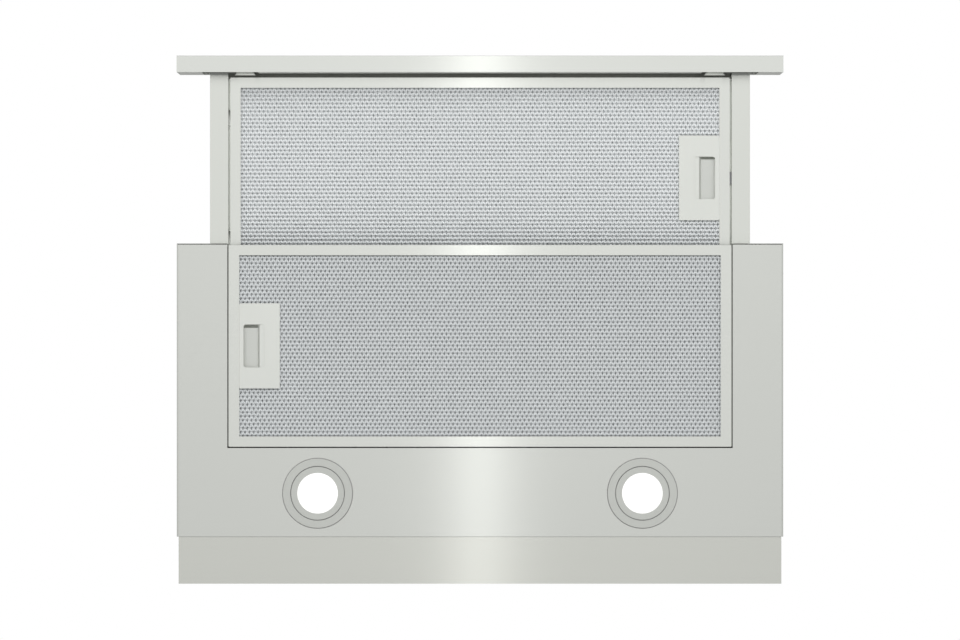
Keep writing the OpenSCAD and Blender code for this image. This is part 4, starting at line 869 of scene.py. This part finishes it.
class HOOD_OT_base(bpy.types.Operator):
    """Builds the fixed base: the brushed panel, the strip behind it and the plates above it"""
    bl_idname = "hood.build_base"
    bl_label = "Base"

    def execute(self, context):
        bend = 2 * MM
        low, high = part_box("base_panel")
        folded_piece("base_panel", "base_shell", "base_steel", tight=[(high.y, low.z, bend, 1)])
        low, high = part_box("rear_spacer")
        strip = folded_piece("rear_spacer", "spacer_strip", "spacer_steel",
                             tight=[(low.y, low.z, bend, -1), (high.y, low.z, bend, 1)])
        joint_gap = 0.3 * MM
        for vertex in strip.data.vertices:
            if vertex.co.y < low.y + SLACK:
                vertex.co.y += joint_gap
        for node, name in (("top_plate", "roof_plate"), ("slide_carrier_left", "carrier_left"),
                           ("slide_carrier_right", "carrier_right")):
            folded_piece(node, name, "galvanised_sheet")
        return {"FINISHED"}


class HOOD_OT_drawer(bpy.types.Operator):
    """Builds the drawer: the front bar, its rails and crossbars"""
    bl_idname = "hood.build_drawer"
    bl_label = "Drawer"

    def execute(self, context):
        low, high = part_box("drawer_trim")
        hem = (high.y, low.z, 1.2 * MM, 1)
        folded_piece("drawer_trim", "front_bar", "trim_steel", tight=[hem])
        self.bar_return(low, high)
        for side in SIDES:
            folded_piece("drawer_rail_" + side, "rail_" + side, "rail_steel")
            self.rail_shoe(side, high.y)
        folded_piece("front_crossbar", "crossbar_front", "blackened_steel")
        folded_piece("rear_crossbar", "crossbar_rear", "galvanised_sheet")
        folded_piece("trim_clips", "bar_clips", "latch_aluminium")
        finish_nodes("plated_steel", "trim_screws")
        return {"FINISHED"}

    def bar_return(self, low, high):
        """The front bar's return: a wall that stands up behind its grip, folded forward at the top."""
        half, gap, thick, deep = 219 * MM, 0.05 * MM, 1.0 * MM, 4.0 * MM
        foot, fold, top = low.z + 3.9 * MM, low.z + 18.0 * MM, low.z + 18.6 * MM
        form = bmesh.new()
        add_block(form, (-half, high.y - thick, foot), (half, high.y - gap, top))
        add_block(form, (-half, high.y - deep, fold), (half, high.y - thick, top))
        built_piece("bar_return", form, "hem_grey", body_of("drawer_trim"), 0.2 * MM)

    def rail_shoe(self, side, back):
        """Thin plate under a rail's front end whose colours are painted shade: dark where it is wide in the
        front bar, a grey strip where it is narrow behind it.
        """
        node, sign = "drawer_rail_" + side, -1 if side == "left" else 1
        low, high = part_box(node)
        inner, outer = sorted((abs(low.x), abs(high.x)))
        top, foot = low.z - 0.02 * MM, low.z - 0.32 * MM
        step = back - 0.2 * MM
        form = bmesh.new()
        for x0, x1, y0, y1 in ((inner - 5 * MM, outer + 6.9 * MM, back - 12 * MM, step),
                               (inner + 4.1 * MM, outer - 0.1 * MM, step + 0.05 * MM, back + 1.9 * MM)):
            x0, x1 = sorted((sign * x0, sign * x1))
            add_block(form, (x0, y0, foot), (x1, y1, top))
        shade_plate = built_piece("rail_shoe_" + side, form, "shoe_dark", body_of(node), 0.1 * MM)
        second_finish(shade_plate, "shoe_grey", lambda face: face.center.y > step + 0.01 * MM)


class HOOD_OT_filters(bpy.types.Operator):
    """Builds both grease filters: folded frames and the sheets of expanded mesh"""
    bl_idname = "hood.build_filters"
    bl_label = "Filters"

    def execute(self, context):
        for side in FILTERS:
            node = side + "_filter_frame"
            cassette = folded_piece(node, side + "_cassette", "frame_aluminium", 0.15 * MM)
            self.roll_sides(side, cassette, *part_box(node))
            # The tongues get their filter's painted slot light or shade, set above.
            paint_slot_light_on_ends(cassette, side, SLOT_PAINTED_LIGHT[side])
            low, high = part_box(side + "_filter_mesh")
            expanded_sheet(side, "_mesh_lower", low.z + SHEET_DEPTH, [side + "_filter_mesh"])
            mesh_core(side, low.z + CORE_DEPTH)
            expanded_sheet(side, "_mesh_upper", high.z - SHEET_DEPTH)
        return {"FINISHED"}

    def roll_sides(self, side, cassette, low, high):
        """Moves the frame's side walls out to where its rolled edge ends."""
        half = min(abs(low.x), abs(high.x))
        for vertex in cassette.data.vertices:
            if half - 0.5 * MM < abs(vertex.co.x) < half + 0.05 * MM:
                vertex.co.x += math.copysign(ROLLED_SIDE[side], vertex.co.x)


class HOOD_OT_latches(bpy.types.Operator):
    """Builds the finger latches that hold the filters"""
    bl_idname = "hood.build_latches"
    bl_label = "Latches"

    def execute(self, context):
        for side in FILTERS:
            node = side + "_latch_slider"
            folded_piece(side + "_latch_plate", side + "_plate", "latch_aluminium")
            slider = folded_piece(node, side + "_slider", "latch_aluminium", 0.15 * MM)
            low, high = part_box(node)
            floor = high.z - POCKET_FLOOR
            self.slope_pocket(side, slider, low, floor)
            # The bolt gets the dark motor steel as painted shade, so the slot along the filter reads as one
            # dark line.
            paint_slot_light_on_ends(slider, side, "motor_steel")
            # The floor of the slider's pocket gets a darker copy of the aluminium as painted shade in the
            # recess.
            second_finish(slider, "pocket_aluminium",
                          lambda face: face.normal.z < -0.9 and face.center.z > floor)
            self.latch_spring(side)
        return {"FINISHED"}

    def slope_pocket(self, side, slider, low, floor):
        """Slopes the pocket's front wall, which the finger slides off, and sets the slider's face back."""
        wall = low.y + 1 * MM
        for vertex in slider.data.vertices:
            if abs(vertex.co.y - wall) < 0.1 * MM and vertex.co.z > floor:
                vertex.co.y += POCKET_SLOPE[side]
            if vertex.co.z < low.z + 0.1 * MM:
                vertex.co.z += SLIDER_SET_BACK

    def latch_spring(self, side):
        """The spring behind the slider, with a mesh of its own; in the real latch it shortens as the slider
        moves.
        """
        spring = folded_piece(side + "_latch_spring", side + "_spring", "plated_steel", 0, 70.0)
        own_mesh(spring)


class HOOD_OT_lamps(bpy.types.Operator):
    """Builds the two round lamps with their glowing lenses"""
    bl_idname = "hood.build_lamps"
    bl_label = "Lamps"

    def execute(self, context):
        for side in SIDES:
            node = "lamp_bezel_" + side
            bezel = folded_piece(node, "bezel_" + side, "bezel_aluminium", 0.1 * MM)
            self.mark_rings(bezel, *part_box(node))
            finish_nodes("lamp_glow", "lamp_lens_" + side)
        finish_nodes("latch_aluminium", "led_modules")
        finish_nodes("plated_steel", "lamp_clips")
        return {"FINISHED"}

    def mark_rings(self, bezel, low, high):
        """Painted shade in the groove between bezel and lens ring, and a grey seal round the bezel whose grey
        is also painted shadow of the gap round it.
        """
        middle, rim = (low + high) / 2, (high.x - low.x) / 2
        groove_inside, groove_outside, seal = rim - 9.0 * MM, rim - 7.8 * MM, rim - 0.95 * MM

        def shaded(face):
            corners = [bezel.data.vertices[i].co for i in face.vertices]
            reach = [math.hypot(corner.x - middle.x, corner.y - middle.y) for corner in corners]
            return groove_inside < min(reach) and max(reach) < groove_outside or min(reach) > seal

        second_finish(bezel, "seal_grey", shaded)


class HOOD_OT_slides(bpy.types.Operator):
    """Builds the ball slides that carry the drawer"""
    bl_idname = "hood.build_slides"
    bl_label = "Ball Slides"

    def execute(self, context):
        for side in SIDES:
            for member in ("outer", "inner"):
                folded_piece(f"{member}_slide_{side}", f"slide_{member}_{side}", "plated_steel")
            finish_nodes("plated_steel", "ball_cage_" + side)
        return {"FINISHED"}


class HOOD_OT_casing(bpy.types.Operator):
    """Builds the galvanised upper housing with its screws and side springs"""
    bl_idname = "hood.build_casing"
    bl_label = "Upper Housing"

    def execute(self, context):
        folded_piece("casing", "housing_shell", "galvanised_sheet")
        finish_nodes("plated_steel", "casing_screws", "spacer_screws", "side_springs")
        low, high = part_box("casing")
        self.beads(low, high)
        self.folds(low, high)
        self.welds(low, high)
        self.rivets(high)
        return {"FINISHED"}

    def beads(self, low, high):
        """Pressed beads that stiffen the walls, the roof and the plate round the housing."""
        form = bmesh.new()
        middle, apart = (low.z + high.z) / 2, 24 * MM
        roof_x, roof_apart, plate_x = -112 * MM, 62 * MM, high.x + 17 * MM
        for z in (middle - apart, middle + apart):
            press_bead(form, (0, low.y, z), (0, -1, 0), ALONG_X, *LONG_BEAD)
            press_bead(form, (0, high.y, z), (0, 1, 0), ALONG_X, *LONG_BEAD)
        for sign in (-1, 1):
            press_bead(form, (sign * high.x, 0, middle), (sign, 0, 0), ALONG_Z, *END_BEAD)
            press_bead(form, (roof_x, sign * roof_apart, high.z), ALONG_Z, ALONG_X, *ROOF_BEAD)
            press_bead(form, (sign * plate_x, 0, low.z), ALONG_Z, ALONG_Y, *PLATE_BEAD)
        press_bead(form, (roof_x, 0, high.z), ALONG_Z, ALONG_X, *ROOF_BEAD)
        built_piece("pressed_beads", form, "galvanised_sheet", body_of("casing"))

    def folds(self, low, high):
        """The roof's down-turned rim and the corner laps of the walls."""
        form = bmesh.new()
        sunk, lap, lap_end = 0.1 * MM, 15 * MM, 0.4 * MM
        top, foot = high.z - sunk, high.z - 11 * MM
        lap_foot, lap_top = low.z + 1 * MM, foot - 2 * MM
        for sign in (-1, 1):
            y0, y1 = sorted((sign * (high.y - sunk), sign * (high.y + FOLD_THICK)))
            add_block(form, (low.x - FOLD_THICK, y0, foot), (high.x + FOLD_THICK, y1, top))
            x0, x1 = sorted((sign * (high.x - sunk), sign * (high.x + FOLD_THICK)))
            add_block(form, (x0, low.y - FOLD_THICK, foot), (x1, high.y + FOLD_THICK, top))
            for end in (-1, 1):
                y0, y1 = sorted((end * (high.y - lap), end * (high.y - lap_end)))
                add_block(form, (x0, y0, lap_foot), (x1, y1, lap_top))
        built_piece("housing_folds", form, "galvanised_sheet", body_of("casing"), 0.3 * MM)

    def welds(self, low, high):
        """Rows of spot welds along the laps, the rim and the plate."""
        form = bmesh.new()
        lap_x, lap_y, plate_x = high.x + FOLD_THICK, high.y - 8 * MM, high.x + 29 * MM
        rim_y, rim_z = high.y + FOLD_THICK, high.z - 6 * MM
        for sign in (-1, 1):
            for end in (-1, 1):
                for z in np.linspace(low.z + 14 * MM, high.z - 26 * MM, 5):
                    press_bead(form, (sign * lap_x, end * lap_y, z), (sign, 0, 0), ALONG_Y, *WELD)
            for x in np.linspace(low.x + 20 * MM, high.x - 20 * MM, 9):
                press_bead(form, (x, sign * rim_y, rim_z), (0, sign, 0), ALONG_X, *WELD)
            for y in np.linspace(-130 * MM, 130 * MM, 11):
                press_bead(form, (sign * plate_x, y, low.z), ALONG_Z, ALONG_X, *WELD)
        built_piece("spot_welds", form, "weld_steel", body_of("casing"))

    def rivets(self, high):
        """Blind rivets that hold the feet of the side springs."""
        form = bmesh.new()
        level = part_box("side_springs")[0].z + 5.5 * MM
        for sign in (-1, 1):
            for y in (-75 * MM, -65 * MM, 65 * MM, 75 * MM):
                press_bead(form, (sign * (high.x + FOLD_THICK), y, level), (sign, 0, 0), ALONG_Y, *RIVET)
        built_piece("spring_rivets", form, "plated_steel", body_of("side_springs"))


class HOOD_OT_blower(bpy.types.Operator):
    """Builds the blower: scroll, cover, grille, wheel, motor and capacitor"""
    bl_idname = "hood.build_blower"
    bl_label = "Blower"

    def execute(self, context):
        finish_nodes("dark_moulding", "scroll_housing", "scroll_cover", "inlet_grille")
        finish_nodes("pale_moulding", "impeller", "capacitor")
        finish_nodes("motor_steel", "motor")
        finish_nodes("galvanised_sheet", "motor_mount")
        finish_nodes("plated_steel", "motor_shaft")
        return {"FINISHED"}


class HOOD_OT_outlet(bpy.types.Operator):
    """Builds the duct collar with its two flaps"""
    bl_idname = "hood.build_outlet"
    bl_label = "Outlet"

    def execute(self, context):
        folded_piece("duct_collar", "collar_ring", "dark_moulding", 0.4 * MM)
        low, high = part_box("duct_collar")
        middle, flange = (low + high) / 2, (high.x - low.x) / 2
        tube = flange - 15.5 * MM
        form = bmesh.new()
        self.gussets(form, Vector((middle.x, middle.y, low.z)), tube, flange)
        for down in (4.5 * MM, 9.5 * MM):
            self.ridge(form, Vector((middle.x, middle.y, high.z - down)), tube)
        built_piece("collar_ribs", form, "dark_moulding", body_of("duct_collar"), 0.2 * MM)
        finish_nodes("dark_moulding", "flap_left", "flap_right")
        finish_nodes("plated_steel", "flap_axle", "collar_screws")
        return {"FINISHED"}

    def gussets(self, form, foot, tube, flange):
        """Twelve gussets between the collar's flange and its tube."""
        half = 0.9 * MM
        profile = ((tube - 0.3 * MM, 1.2 * MM), (flange - 2.5 * MM, 1.2 * MM), (flange - 3.5 * MM, 2.6 * MM),
                   (tube + 1.5 * MM, 14 * MM), (tube - 0.3 * MM, 15 * MM))
        for k in range(12):
            turn = Matrix.Translation(foot) @ Matrix.Rotation(math.radians(30 * k), 4, "Z")
            left, right = [[form.verts.new(turn @ Vector((x, y, z))) for x, z in profile]
                           for y in (-half, half)]
            form.faces.new(left)
            form.faces.new(reversed(right))
            for i in range(len(profile)):
                j = (i + 1) % len(profile)
                form.faces.new((left[i], right[i], right[j], left[j]))

    def ridge(self, form, middle, tube, steps=96):
        """A ridge round the tube, which grips the duct."""
        section = ((tube - 0.2 * MM, -1.1 * MM), (tube + 0.7 * MM, -0.4 * MM), (tube + 0.8 * MM, 0.2 * MM),
                   (tube - 0.2 * MM, 1.3 * MM))
        turns = [2 * math.pi * k / steps for k in range(steps)]
        rings = [[form.verts.new(middle + Vector((r * math.cos(turn), r * math.sin(turn), z)))
                  for r, z in section] for turn in turns]
        for ring, after in zip(rings, rings[1:] + rings[:1]):
            for i in range(len(section) - 1):
                form.faces.new((ring[i], after[i], after[i + 1], ring[i + 1])).smooth = True


class HOOD_OT_wiring(bpy.types.Operator):
    """Builds the terminal box, its lid and the cable gland"""
    bl_idname = "hood.build_wiring"
    bl_label = "Wiring Box"

    def execute(self, context):
        folded_piece("terminal_box", "wiring_box", "pale_moulding", 0.5 * MM)
        folded_piece("terminal_lid", "wiring_lid", "pale_moulding", 0.5 * MM)
        folded_piece("cable_gland", "gland", "dark_moulding", 0.3 * MM)
        return {"FINISHED"}


class HOOD_OT_buttons(bpy.types.Operator):
    """Builds the row of push buttons in the front bar's face"""
    bl_idname = "hood.build_buttons"
    bl_label = "Buttons"

    def execute(self, context):
        folded_piece("button_bezel", "button_surround", "dark_moulding", 0.3 * MM)
        folded_piece("switch_block", "switch_body", "dark_moulding", 0.3 * MM)
        for name in ("off", "low", "high", "light"):
            folded_piece("button_" + name, "key_" + name, "trim_steel", 0.5 * MM)
        return {"FINISHED"}


OPERATORS = (HOOD_OT_stage, HOOD_OT_base, HOOD_OT_drawer, HOOD_OT_filters, HOOD_OT_latches, HOOD_OT_lamps,
             HOOD_OT_slides, HOOD_OT_casing, HOOD_OT_blower, HOOD_OT_outlet, HOOD_OT_wiring, HOOD_OT_buttons)


class HOOD_PT_panel(bpy.types.Panel):
    """Lists the steps that dress the hood, and its settings"""
    bl_idname = "HOOD_PT_panel"
    bl_label = "Range Hood"
    bl_space_type = "VIEW_3D"
    bl_region_type = "UI"
    bl_category = "Range Hood"

    def draw(self, context):
        for step in OPERATORS:
            self.layout.operator(step.bl_idname, text=step.bl_label)
        for label, settings in (("Finish", context.scene.hood_finish), ("Shape", context.scene.hood_shape),
                                ("Stage", context.scene.hood_stage)):
            box = self.layout.box()
            box.label(text=label)
            for key in settings.__annotations__:
                box.prop(settings, key)


CLASSES = (HoodFinishSettings, HoodShapeSettings, HoodStageSettings, *OPERATORS, HOOD_PT_panel)


def register():
    for each in CLASSES:
        bpy.utils.register_class(each)
    bpy.types.Scene.hood_finish = bpy.props.PointerProperty(type=HoodFinishSettings)
    bpy.types.Scene.hood_shape = bpy.props.PointerProperty(type=HoodShapeSettings)
    bpy.types.Scene.hood_stage = bpy.props.PointerProperty(type=HoodStageSettings)


def unregister():
    del bpy.types.Scene.hood_finish
    del bpy.types.Scene.hood_shape
    del bpy.types.Scene.hood_stage
    for each in reversed(CLASSES):
        bpy.utils.unregister_class(each)


def main():
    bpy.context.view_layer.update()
    register()
    for step in OPERATORS:
        family, action = step.bl_idname.split(".")
        getattr(getattr(bpy.ops, family), action)()


if __name__ == "__main__":
    main()
